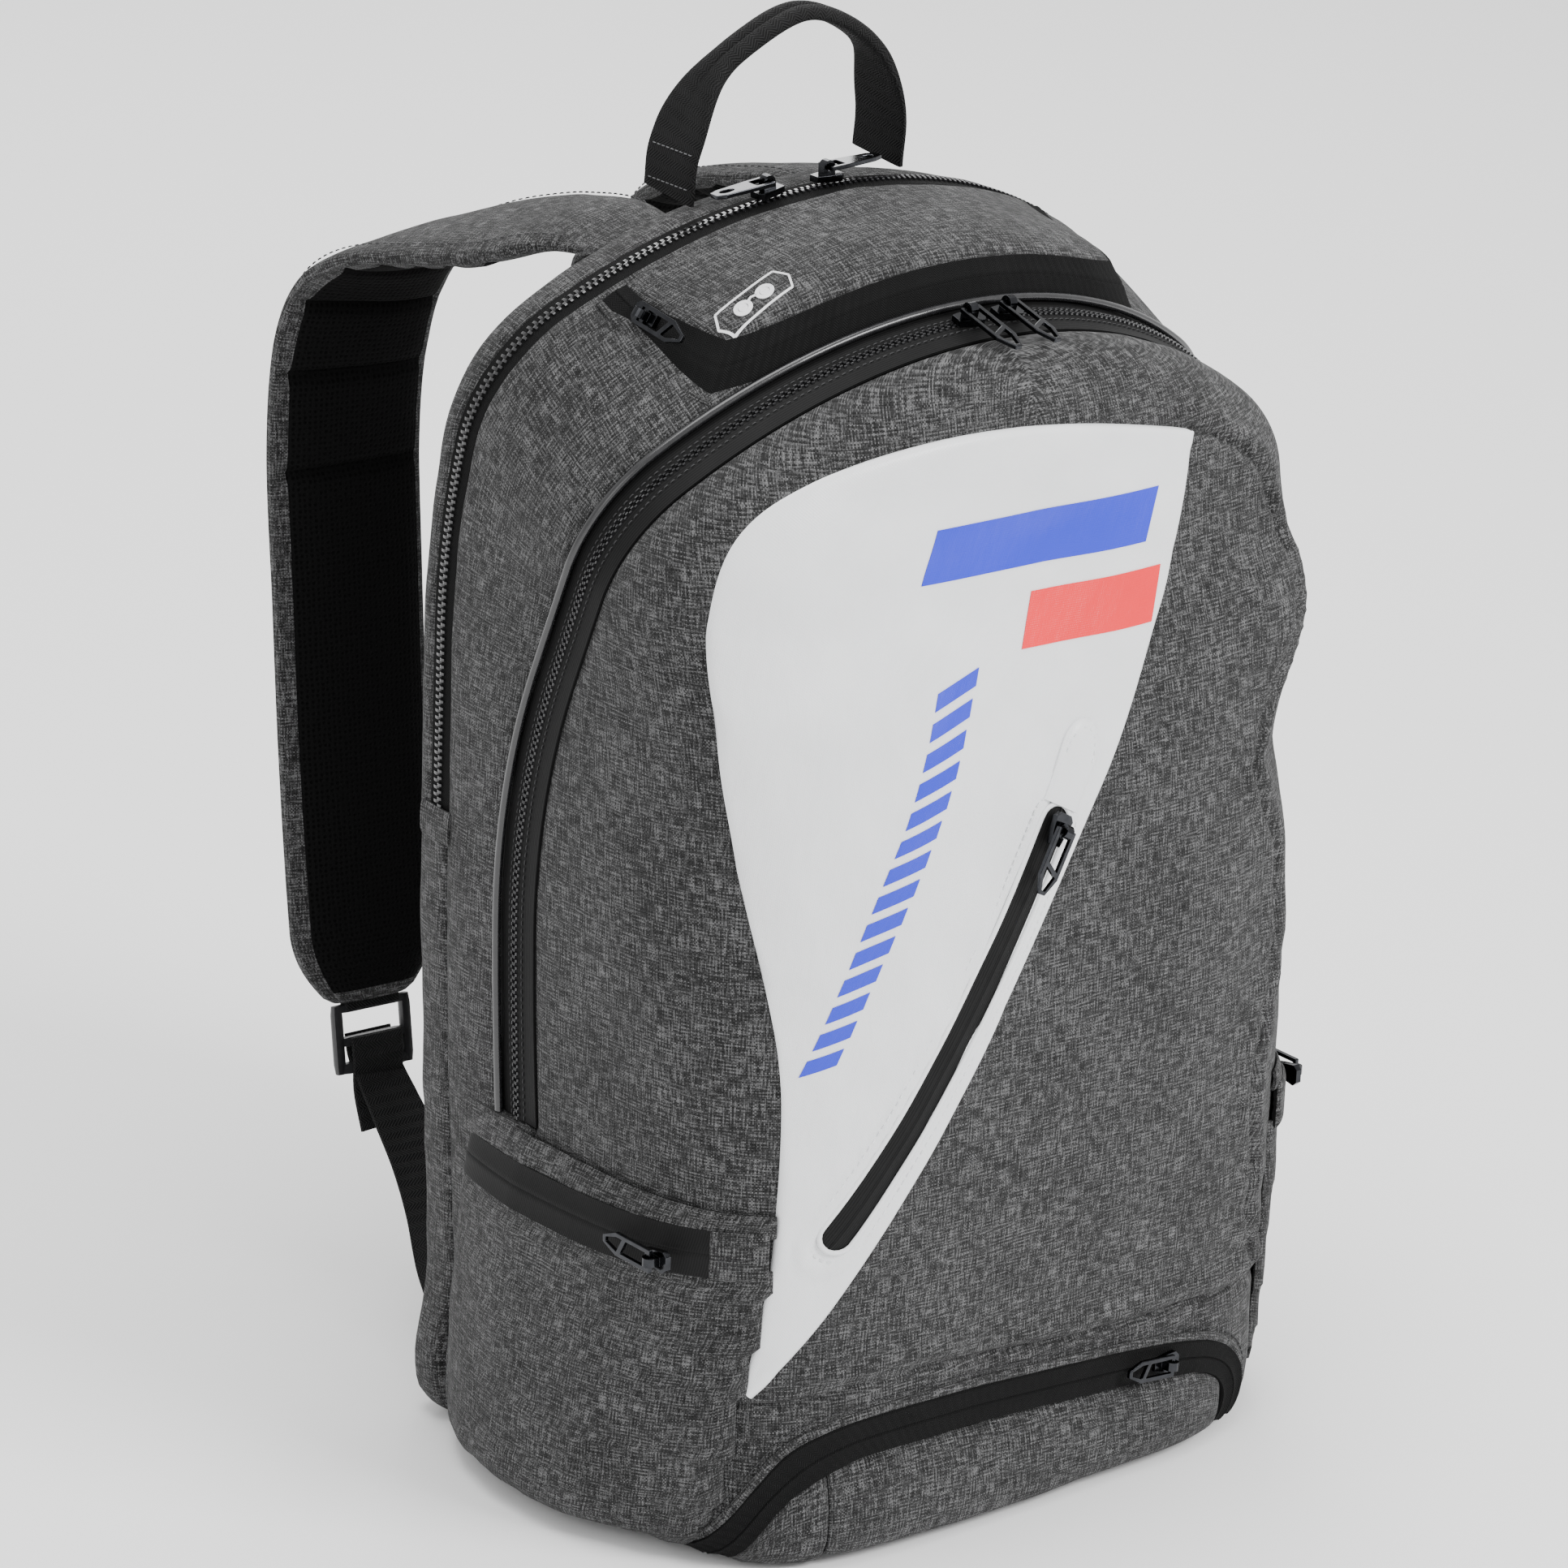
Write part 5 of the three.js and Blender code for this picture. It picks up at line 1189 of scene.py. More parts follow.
def make_garage(front):
    """The flap that covers the upper end of the slanted zip, with its own row of stitches."""
    centre = np.array([2.0, 314.0])
    away = unit(np.array([0.48, 0.88]))
    side = np.array([away[1], -away[0]])
    rows = []
    for t in np.linspace(0, 1, 26):
        width = 9.2 * math.sqrt(max(0.0, 1 - max(0.0, (t - 0.62) / 0.38) ** 2))
        rows.append([centre + away * (-17 + 35 * t) + side * width * s for s in np.linspace(-1, 1, 15)])
    flat = np.array(rows)
    s = np.linspace(-1, 1, 15)[None, :]
    t = np.linspace(0, 1, 26)[:, None]
    lift = 2.4 + 1.6 * (1 - s ** 4) * np.minimum(1, (1 - t) * 6) ** 0.5
    grid, normals = front.lay(flat, lift)
    flap = cloth("zip_garage_flap", grid, 1.2, ["white", "white"], normals=normals)
    piece(flap, "front_lid", "white_tarpaulin", "zip_garage")
    arc = []
    for t in np.linspace(0, 1, 60):
        angle = math.pi * t
        arc.append(centre + away * (2 + 12.5 * math.sin(angle)) + side * 7.0 * math.cos(angle))
    place, facing = front.lay(np.array(arc), 3.4)
    row = stitches("garage_thread", place, facing, "thread_white", 3.0, 2.2, 0.5, 0.5)
    piece(row, "front_lid", "white_tarpaulin")


def outline_round(line, distance, count=170):
    """A closed loop at a distance round a line of (x, z) points."""
    tangent, side = flat_frame(line)
    first = line[0] + tangent[0] * POCKET_ZIP_HALF
    last = line[-1] - tangent[-1] * POCKET_ZIP_HALF
    inner = line[4:-4]
    turn = np.linspace(0, math.pi, 16)[1:-1]
    end = [last + distance * (side[-1] * math.cos(a) + tangent[-1] * math.sin(a)) for a in turn]
    start = [first + distance * (-side[0] * math.cos(a) - tangent[0] * math.sin(a)) for a in turn]
    inner_side = side[4:-4]
    loop = np.vstack([inner + inner_side * distance, end, (inner - inner_side * distance)[::-1], start])
    return resample(np.vstack([loop, loop[:1]]), count + 1)[:-1]


# ------------------------------------------------------------------ shoe compartment

def make_shoe_compartment(front):
    outer = shoe_outline(-1.0)
    inner = shoe_outline(14.5)
    shares = np.array([0, 0.04, 0.1, 0.25, 0.4, 0.46, 0.5, 0.54, 0.6, 0.75, 0.9, 0.96, 1])
    flat = outer[:, None] + (inner - outer)[:, None] * shares[None, :, None]
    lift = np.array([1.6, 2.8, 2.3, 1.9, 2.4, 2.8, 2.1, 2.8, 2.4, 1.9, 2.2, 2.6, 1.2])
    grid, normals = front.lay(flat, lift[None, :])
    tape = cloth("shoe_zip_cloth", grid, 1.7, ["tape", "tape"], normals=normals)
    piece(tape, "root", "zip_tape", "shoe_zip")
    # A folded edge of cloth frames the zip.
    rim_line, facing = front.lay(shoe_outline(-2.4), 0.9)
    forward = unit(np.gradient(rim_line, axis=0))
    side = np.cross(facing, forward)
    fold = tube("shoe_opening_fold", cord_rings(rim_line, side, facing, 2.0, 1.3, 12), ["grey"])
    piece(fold, "root", "grey_fabric")
    thread_line, facing = front.lay(shoe_outline(-6.5), 0.35)
    piece(stitches("shoe_opening_thread", thread_line, facing, "thread"), "root", "grey_fabric")
    make_shoe_cloth(front, "shoe_flap_cloth", SHOE_FLAP_LEFT + 0.5, None, "shoe_door", "shoe_flap")
    make_shoe_cloth(front, "shoe_corner_cloth", None, SHOE_FLAP_LEFT, "root")


def make_shoe_cloth(front, name, start, end, body, *nodes):
    """Soft cloth inside the arch of the shoe zip: the flap, or the fixed corner on its left."""
    edge = shoe_outline(14.2, 400)
    left, right = edge[:, 0].min(), edge[:, 0].max()
    start, end = (left if start is None else start), (right if end is None else end)
    x = start + (end - start) * edge_shares(end - start, 4.5)
    top = np.array([edge[np.abs(edge[:, 0] - value) < 2.0][:, 1].max() for value in x])
    v = edge_shares(40, 3.5)
    foot = 4 + 2.2 * (body == "shoe_door")
    flat = np.stack([x + 0 * v[:, None], foot + (np.maximum(top, foot + 5) - foot) * v[:, None]], axis=-1)
    base, normals = front.lay(flat, 0.0)
    u = (x - left) / (right - left)
    near = np.minimum((1 - v)[:, None] * 30, np.minimum(x - start, end - x)[None, :])
    swell = 6.0 * np.sin(np.pi * u).clip(0)[None, :] ** 0.4 * np.cos(1.5 * v ** 1.4)[:, None].clip(0) ** 0.7
    lift = 0.6 + swell - 1.4 * np.exp(-near / 1.6) + 0.9 * lumps(base, 38, 31) + 0.3 * lumps(base, 13, 33)
    lift = np.where(v[:, None] < 0.02, 0.2, lift)
    flap = cloth(name, base + normals * lift[..., None], 2.6, ["grey", "lining"], normals=normals)
    piece(flap, body, "grey_fabric", *nodes)


def panel_in_arch(name, arch, y_shift, thick, finishes, from_height, puff, seed, *nodes):
    """A soft upright panel that fills an arch."""
    left = arch.left_half(SIDE_HEIGHTS[SIDE_HEIGHTS >= from_height])
    shares = edge_shares(290, 9)
    rows = [[lerp(p, mirror(p), s) for s in shares] for p in left]
    grid = np.array(rows)
    width = np.linalg.norm(grid[:, -1] - grid[:, 0], axis=-1)[:, None]
    near = np.minimum(shares, 1 - shares)[None, :] * width
    out = puff * (1 - np.exp(-near / 14)) + 0.8 * lumps(grid, 60, seed)
    grid[..., 1] += y_shift + out
    return piece(cloth(name, grid, thick, finishes, outward=(0, -600, 250)), "root", "black_lining", *nodes)


def plan_outline(height, rear_y, margin, count=40):
    """The inside outline of the bag at a height, as left and right points from back to front."""
    half = float(LID_ZIP_FRONT.half_width(height)) - margin
    front = float(front_y(height)) + margin
    corner = rounded_quarter(float(plan_power(height)), count, half, LID_ZIP_FRONT.y - front)
    right = np.stack([half * corner[:, 0], lerp(LID_ZIP_FRONT.y, front, corner[:, 1])], axis=1)
    rear_half = float(REAR_ZIP_FRONT.half_width(height)) - margin
    back = np.stack([np.linspace(rear_half, half, 12), np.linspace(rear_y, LID_ZIP_FRONT.y, 12)], axis=1)[:-1]
    return np.vstack([back, right])


def floor_panel(name, height, rear_y, margin, thick, finishes, slot, up, *nodes):
    outline = plan_outline(height, rear_y, margin)
    shares = np.linspace(-1, 1, 41)
    grid = np.array([[(x * s, y, height) for s in shares] for x, y in outline[:-1]])
    edge = 1 - np.abs(shares)[None, :] ** 6
    sag = 0.7 * np.maximum(0, lumps(grid, 45, 41)) * edge
    grid[..., 2] += up * sag
    thick = thick + up * sag
    return piece(cloth(name, grid, thick, finishes, outward=(0, 0, height - up * 500)), "root", slot, *nodes)


def make_inside():
    lining = ["lining", "lining"]
    panel_in_arch("racket_sleeve_wall", DIVIDER_EDGE, 0, 2.2, lining, 5, 0.0, 51, "racket_divider")
    floor_panel(
        "shoe_ceiling_cloth", 78.3, DIVIDER_EDGE.y - 4.5, WALL + 1.6, 2.0, lining,
        "black_lining", 1, "shoe_compartment_ceiling",
    )
    floor_panel("base_cloth", 4, 82, WALL + 1.2, 3.8, ["webbing", "lining"], "black_lining", 1, "base_panel")


# ------------------------------------------------------------------ side pockets

class PocketWall:
    """The side wall under a side pocket, from the pocket's rear seam round to its front seam."""

    REAR = ((0, 76), (60, 76), (110, 70), (150, 60))
    FRONT = ((0, 140), (16, 141), (36, 138.5), (70, 136.5), (117, 131), (150, 129.5))

    def __init__(self):
        self.heights = np.linspace(0, 162, 82)
        self.lines = []
        for height in self.heights:
            outline = plan_outline(height, np.interp(height, *zip(*self.REAR)), 0.0, 60)
            reach = np.interp(height, *zip(*self.FRONT))
            turn = np.argmax(outline[:, 0])
            ahead = np.arange(len(outline)) > turn
            stop = np.nonzero(ahead & (outline[:, 0] < reach) & (outline[:, 1] < -60))[0]
            line = outline[: stop[0] + 1] if len(stop) else outline
            self.lines.append(resample(line, 120))
        self.lines = np.array(self.lines)
        self.outward = np.gradient(self.lines, axis=1)
        self.outward = unit(np.stack([-self.outward[..., 1], self.outward[..., 0]], axis=-1))

    def at(self, across, height, out):
        """Places at a share of the way forward, at a height, standing out by some millimetres."""
        across, height, out = np.broadcast_arrays(across, height, out)
        row = np.interp(height, self.heights, np.arange(len(self.heights)))
        column = np.clip(across, 0, 1) * (self.lines.shape[1] - 1)
        r, c = np.minimum(row.astype(int), len(self.heights) - 2), np.minimum(column.astype(int), 118)
        fr, fc = (row - r)[..., None], (column - c)[..., None]
        spots = []
        for field in (self.lines, self.outward):
            near = lerp(field[r, c], field[r, c + 1], fc)
            far = lerp(field[r + 1, c], field[r + 1, c + 1], fc)
            spots.append(lerp(near, far, fr))
        place = spots[0] + unit(spots[1]) * out[..., None]
        return np.concatenate([place, height[..., None]], axis=-1)


def make_side_pockets():
    wall = PocketWall()

    def belly(across, height):
        """How far the loaded pocket stands out: most near its base, less at its zip."""
        low = lerp(25, 9, smooth(height / 150))
        round_under = np.sqrt(np.clip(1 - (1 - np.clip(height / 16, 0, 1)) ** 2, 0, 1))
        over = np.sin(np.pi * np.clip(across, 0, 1)).clip(0) ** 0.45
        over = over * (1 - 0.42 * smooth((across - 0.62) / 0.3))
        return low * over * (0.45 + 0.55 * round_under)

    def zip_height(across):
        return lerp(122, 129, across), lerp(137, 145, across)

    for name, side, seed in (("left", -1, 61), ("right", 1, 71)):
        columns, rows = edge_shares(185, 4.5), edge_shares(125, 4.2)
        up, across = rows[:, None], columns[None, :]
        foot = np.interp(across, (0, 0.5, 0.8, 0.95, 1), (1.6, 1.2, 1.8, 5, 12))
        height = lerp(foot, zip_height(across)[0] + 0.6, up)
        place = np.stack(np.broadcast_arrays(across * 185, 0 * up, height), axis=-1)
        near = np.minimum(across, 1 - across) * 185
        folds = 2.2 * lumps(place, 50, seed) + 0.9 * lumps(place, 21, seed + 1)
        # Gathers run up from the lower corners, where the cloth is sewn into the base.
        gathers = 1.6 * np.exp(-height / 26) * lumps(place * np.array([1, 1, 0.3]), 12, seed + 2)
        below_zip = (zip_height(across)[0] - height).clip(0)
        drawn = 1.5 * np.exp(-(125 - height).clip(0) / 14)
        drawn = drawn * lumps(place * np.array([1, 1, 0.25]), 15, seed + 3)
        ease = np.sin(np.pi * across).clip(0) ** 0.4 * (1 - np.exp(-(below_zip / 9)))
        from_crease = across - 0.9 + 0.03 * np.sin(height / 17)
        crease = -2.4 * np.exp(-((from_crease / 0.035) ** 2)) * smooth(1.1 - up)
        out = 1.7 + belly(across, height) + (folds + gathers + drawn) * ease
        out = out - 1.2 * np.exp(-near / 2.0) + crease * ease
        grid = wall.at(across, height, np.maximum(out, 1.1))
        grid = mirror(grid) if side < 0 else grid
        body = cloth(f"{name}_pocket_cloth", grid, 1.5, ["grey", "lining"], outward=(0, 0, 70))
        piece(body, "root", "grey_fabric", f"{name}_side_pocket")

        across = np.linspace(0, 1, 70)[None, :]
        low, high = zip_height(across)
        up = np.array([-0.1, 0, 0.2, 0.35, 0.44, 0.47, 0.5, 0.53, 0.56, 0.65, 0.8, 1.0, 1.1])[:, None]
        ridge = 0.7 * np.exp(-(((up - 0.5) * 10 / 2.2) ** 2)) - 0.5 * np.exp(-(((up - 0.5) * 10 / 0.4) ** 2))
        height = lerp(low, high, up)
        out = 3.3 + belly(across, height) * (1.0 - 0.4 * up) + ridge
        grid = wall.at(lerp(0.01, 0.985, across), height, out)
        grid = mirror(grid) if side < 0 else grid
        film = cloth(f"{name}_pocket_zip_film", grid, 1.3, ["coated", "tape"], outward=(0, 0, 130))
        piece(film, "root", "coated_zip", f"{name}_pocket_zip")

        up = edge_shares(15, 2.6)[:, None]
        height = lerp(high - 1.5, lerp(151, 153, across), up)
        place = np.stack(np.broadcast_arrays(across * 185, 0 * up, height), axis=-1)
        out = 2.0 + belly(across, high) * lerp(0.62, 0.04, up) + 1.5 * np.sin(np.pi * up).clip(0) ** 0.5
        out = out + 0.5 * lumps(place, 16, seed + 4) * np.sin(np.pi * up).clip(0)
        grid = wall.at(across, height, out)
        grid = mirror(grid) if side < 0 else grid
        band = cloth(f"{name}_pocket_band_cloth", grid, 1.4, ["grey", "lining"], outward=(0, 0, 140))
        piece(band, "root", "grey_fabric", f"{name}_pocket_band")

        up, across = edge_shares(22, 2)[:, None], lerp(0.86, 0.985, edge_shares(22, 2))[None, :]
        height = lerp(zip_height(across)[0] - 2.5, zip_height(across)[1] + 2, up)
        rim = np.minimum(np.minimum(up, 1 - up) * 20, np.minimum(across - 0.86, 0.985 - across) * 185)
        out = 4.2 + belly(across, height) * 0.85 - 1.4 * np.exp(-rim / 0.9)
        grid = wall.at(across, height, out)
        grid = mirror(grid) if side < 0 else grid
        patch = cloth(f"{name}_pocket_end_patch", grid, 1.4, ["grey", "grey"], outward=(0, 0, 130))
        piece(patch, "root", "grey_fabric")


# ------------------------------------------------------------------ eyewear pocket on top

def top_surface(x, v, rise):
    """A place above the top wall: v runs from the rear zip (0) to the front zip (1)."""
    rear, front = REAR_ZIP_FRONT.crown_at(x), LID_ZIP_BACK.crown_at(x)
    along = unit(front - rear)
    up = np.stack([0 * along[..., 0], -along[..., 2], along[..., 1]], axis=-1)
    up = up * np.where(up[..., 2:] < 0, -1, 1)
    return rear + (front - rear) * np.asarray(v)[..., None] + up * np.asarray(rise)[..., None]


def top_plan(a, b, grow=0.0):
    """Plan of the pocket: a from -1 to 1 across, b from 0 at the rear to 1 at the front."""
    a, b = np.broadcast_arrays(np.asarray(a, float), np.asarray(b, float))
    half = 103 - 5 * b ** 5 + grow
    depth = 0.79 * (1 - 0.1 * np.abs(a) ** 7) + grow / 72
    return a * half, 0.07 + depth * b


def top_rise(b):
    return 2.6 + 11 * smooth(b)


def make_top_pocket():
    a = 2 * edge_shares(206, 5) - 1
    b = edge_shares(60, 3.5)
    x, v = top_plan(a[None, :], b[:, None])
    side = (1 - np.abs(a))[None, :] * 103
    front = (1 - b)[:, None] * 54
    near = np.minimum(side, front)
    crown = 4.2 * np.sin(np.pi * b)[:, None] ** 0.5 * np.sin(np.pi * (a + 1) / 2)[None, :] ** 0.4
    spots = np.stack([x, v * 70, 0 * x], axis=-1)
    folds = 1.1 * lumps(spots, 42, 81) + 0.4 * lumps(spots, 17, 83)
    rise = top_rise(b)[:, None] + crown + folds * (1 - np.exp(-near / 4)) - 2.6 * np.exp(-near / 2.4)
    cover_grid = top_surface(x, v, rise)
    cover = cloth("top_pocket_cloth", cover_grid, 2.2, ["grey", "lining"], outward=(0, 40, 300))
    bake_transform(cover)
    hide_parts("top_pocket_cover")
    # The zip runs round the two sides and the front, from the cover's edge down to the wall.
    loop = np.array(
        [(-1, s) for s in np.linspace(0, 1, 26)]
        + [(s, 1) for s in np.linspace(-1, 1, 64)[1:-1]]
        + [(1, s) for s in np.linspace(1, 0, 26)]
    )
    inner_x, inner_v = top_plan(loop[:, 0], loop[:, 1])
    outer_x, outer_v = top_plan(loop[:, 0], loop[:, 1], 9.0)
    outer_v = np.minimum(outer_v, 0.965)
    outer_v = np.where(loop[:, 1] < 0.02, inner_v, outer_v)
    rise = top_rise(loop[:, 1])
    shares = np.array([-0.08, 0.06, 0.2, 0.36, 0.45, 0.5, 0.55, 0.64, 0.8, 0.94, 1.04])
    film = np.array([0, 0.1, 0.3, 0.9, 1.2, 0.7, 1.2, 0.9, 0.4, 0.3, 0.1])
    grid = []
    for share, lift in zip(shares, film):
        height = lerp(rise - 1.2, 0.9, share) + lift
        grid.append(top_surface(lerp(inner_x, outer_x, share), lerp(inner_v, outer_v, share), height))
    grid = np.stack(grid, axis=1)
    tape = cloth("top_pocket_zip_film", grid, 1.3, ["tape", "tape"], outward=(0, 20, 400))
    piece(tape, "root", "coated_zip", "top_pocket_zip")
    fold_x, fold_v = top_plan(loop[:, 0], loop[:, 1], 10.5)
    fold_v = np.where(loop[:, 1] < 0.02, inner_v, np.minimum(fold_v, 0.975))
    line = top_surface(fold_x, fold_v, 0.9 + 0 * fold_x)
    forward = unit(np.gradient(line, axis=0))
    up = np.array([0.0, -0.25, 0.97])
    side = unit(np.cross(forward, up))
    rings = cord_rings(line, side, np.cross(side, forward), 2.0, 1.1)
    piece(tube("top_pocket_fold", rings[:26], ["grey"]), "root", "grey_fabric")
    make_pictogram(surface_tree(cover_grid))


def make_pictogram(crown_of_cover):
    """A plain outline with two round lenses, printed on the eyewear pocket."""
    def lay(flat, lift):
        shape = flat.shape[:-1]
        points, normals = [], []
        for x, y in flat.reshape(-1, 2):
            hit, normal, _, _ = crown_of_cover.ray_cast(Vector((x, y, 700)), Vector((0, 0, -1)))
            if hit is None:
                hit, normal, _, _ = crown_of_cover.find_nearest(Vector((x, y, 500)))
            normal = normal if normal.z > 0 else -normal
            points.append(hit + normal * lift)
            normals.append(normal)
        return np.array(points).reshape(*shape, 3), np.array(normals).reshape(*shape, 3)

    centre, along = np.array([-80.0, -7.0]), unit(np.array([1.0, 0.02]))
    across = np.array([-along[1], along[0]])

    def stroke(name, line, width):
        line = resample(np.array(line, float), 40)
        _, side = flat_frame(line)
        flat = np.stack([line + side * width * s for s in (-0.5, -0.17, 0.17, 0.5)], axis=1)
        world = centre + flat[..., :1] * along + flat[..., 1:] * across
        grid, normals = lay(world, 0.35)
        piece(cloth(name, grid, 0.25, ["ink", "ink"], normals=normals), "top_pocket_lid", "grey_fabric")

    frame_line = [(-14, -6), (14, -6), (17, 0), (14, 6), (-14, 6), (-17, 0), (-14, -6)]
    for k, (start, end) in enumerate(zip(frame_line, frame_line[1:])):
        stroke(f"pictogram_edge_{k}", [start, end], 0.9)
    for name, middle in (("left", -5.2), ("right", 5.2)):
        for ring in (0.9, 2.6):
            turn = np.linspace(0, 2 * math.pi, 30)
            stroke(f"pictogram_{name}_lens_{int(ring * 10)}", np.stack(
                [middle + ring * 1.15 * np.cos(turn), ring * np.sin(turn)], axis=1), 1.7)
    stroke("pictogram_bridge", [(-2.2, 1.0), (0, 1.8), (2.2, 1.0)], 0.9)


# ------------------------------------------------------------------ straps, lock and handle

STRAP_LINE = (
    (-58, 90, 482), (-60, 118, 482), (-64, 150, 473), (-69, 185, 463), (-75, 215, 451), (-79, 237, 432),
    (-81, 248, 404), (-82, 251, 360), (-83, 245, 298), (-85, 237, 238), (-87, 228, 184), (-89, 217, 128),
)
STRAP_ACROSS = (
    (1, 0, 0.1), (1, 0, 0.16), (1, 0, 0.2), (1, 0, 0.16), (1, -0.04, 0.06), (1, -0.08, -0.06),
    (1, -0.1, -0.12), (1, -0.08, 0), (1, -0.05, 0.03), (1, -0.05, 0), (1, -0.05, -0.05), (1, -0.05, -0.1),
)
LOWER_WEBBING_LINE = (
    (-89, 206, 94), (-90, 193, 83), (-94, 172, 69), (-101, 152, 56), (-111, 133, 44), (-119, 117, 37),
    (-124, 109.6, 32),
)
STRAP_HALF = 36
STRAP_THICK = 13


def line_frames(points, across_at, count):
    """Centre, across and up directions along a smooth line."""
    centre = spline(points, count)
    along = unit(np.gradient(centre, axis=0))
    share = np.linspace(0, 1, count)
    run = lengths_along(np.array(points, float))
    across_at = np.array(across_at, float)
    across = np.stack([np.interp(share * run[-1], run, across_at[:, k]) for k in range(3)], axis=1)
    across = unit(across - along * np.sum(across * along, axis=1, keepdims=True))
    return share, centre, along, across, np.cross(across, along)


def strap_half_width(share):
    root = lerp(23, STRAP_HALF, smooth(share / 0.16))
    return root * (1 - (np.maximum(0, share - 0.93) / 0.07) ** 2 * 0.45)


CHANNELS = (0.13, 0.175, 0.215, 0.255, 0.3, 0.36, 0.43, 0.52)


def make_straps():
    count, around = 190, 56
    share, centre, _, across, up = line_frames(STRAP_LINE, STRAP_ACROSS, count)
    half = strap_half_width(share)
    thick = STRAP_THICK / 2 * lerp(0.55, 1, smooth(share / 0.12)) * (1 - 0.35 * smooth((share - 0.96) / 0.04))
    angle = np.linspace(0, 2 * math.pi, around, endpoint=False)
    reach = (np.abs(np.cos(angle)) ** 5 + np.abs(np.sin(angle)) ** 2.4) ** (-1 / 3.2)
    wide, high = np.cos(angle) * reach, np.sin(angle) * reach
    wide, high = wide / np.abs(wide).max(), high / np.abs(high).max()
    # The foam thins out towards the bound edges.
    high = high * (0.56 + 0.44 * np.sqrt(np.clip(1 - wide ** 2, 0, 1)))
    inner = np.clip(-high, 0, 1)[None, :] ** 0.5
    groove = sum(np.exp(-((share - c) / 0.0055) ** 2) for c in CHANNELS)
    swell = 0.0 * share
    for start, end in zip(CHANNELS, CHANNELS[1:]):
        middle = np.clip((share - start) / (end - start), 0, 1)
        swell = swell + np.sin(np.pi * middle) ** 0.7
    flat_part = smooth((share - CHANNELS[-1]) / 0.03)
    inside_face = np.clip(1 - np.abs(wide) ** 8, 0, 1)[None, :] * inner
    seam_line = np.exp(-((np.abs(wide) * STRAP_HALF - 31.5) / 1.2) ** 2)[None, :] * (high < 0)[None, :]
    level = high[None, :] * thick[:, None]
    level = level - inside_face * (1.6 * swell + 0.9 * flat_part)[:, None]
    level = level + inside_face * 3.2 * groove[:, None]
    level = level + seam_line * 1.3
    out = 1.2 * (1 - wide ** 2)[None, :] * (high > 0)[None, :]
    level = level + out
    places = centre[:, None] + across[:, None] * (wide[None, :] * half[:, None])[..., None]
    rings = places + up[:, None] * level[..., None]
    crumple = 0.7 * lumps(rings * np.array([1, 1, 0.8]), 34, 91) + 0.25 * lumps(rings, 12, 93)
    crumple = crumple * np.sign(high)[None, :] * (1 - np.abs(wide) ** 6)[None, :]
    rings = rings + up[:, None] * crumple[..., None]
    # Round off both ends.
    for place in (0, count - 1):
        rings[place] = centre[place] + (rings[place] - centre[place]) * 0.9

    def finish_of(row, column):
        lower = high[column] < -0.25 and high[(column + 1) % around] < -0.25
        within = abs(wide[column]) * half[row] < half[row] - 4.0
        ends = 0.012 < share[row] < 0.985
        return 1 if lower and within and ends else 0

    for name, side in (("left", 1), ("right", -1)):
        points = rings if side > 0 else mirror(rings)
        pad = tube(f"{name}_shoulder_strap", points, ["grey", "mesh"], finish_of, sharp=60)
        sewn, free = metres(side * -58, 95, 480), metres(side * -64, 124, 488)
        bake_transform(pad)
        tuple(sewn)
        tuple(free)
        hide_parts(f"{name}_shoulder_pad")
        for edge in (-1, 1):
            line = centre + across * (half * edge * 0.86)[:, None] + up * (thick * 0.72 + 0.55)[:, None]
            line, facing = line[8:-6], up[8:-6]
            if side < 0:
                line, facing = mirror(line), mirror(facing)
            label = "inner" if edge > 0 else "outer"
            thread = stitches(f"{name}_strap_thread_{label}", line, facing, "thread", 4.0, 2.6, 0.5, 0.4)
            piece(thread, f"{name}_strap", "grey_fabric")
    down = unit(centre[-1] - centre[-4])
    lock_centre = centre[-1] + down * 16
    make_locks(lock_centre, across[-1], down)
    make_lower_webbing(lock_centre, across[-1], down)


def ribbon(name, points, across, width, thick, finish):
    """Flat webbing along a line of points, with soft edges."""
    along = unit(np.gradient(points, axis=0))
    across = unit(across - along * np.sum(across * along, axis=1, keepdims=True))
    up = np.cross(across, along)
    width = np.broadcast_to(width, len(points))
    thick = np.broadcast_to(thick, len(points))
    corners = [(-1, -0.3), (-0.96, -1), (-0.6, -1), (0, -1), (0.6, -1), (0.96, -1), (1, -0.3),
               (1, 0.3), (0.96, 1), (0.6, 1), (0, 1), (-0.6, 1), (-0.96, 1), (-1, 0.3)]
    rings = [
        points + across * (width / 2 * a)[:, None] + up * (thick / 2 * b)[:, None] for a, b in corners
    ]
    return tube(name, np.stack(rings, axis=1), [finish])


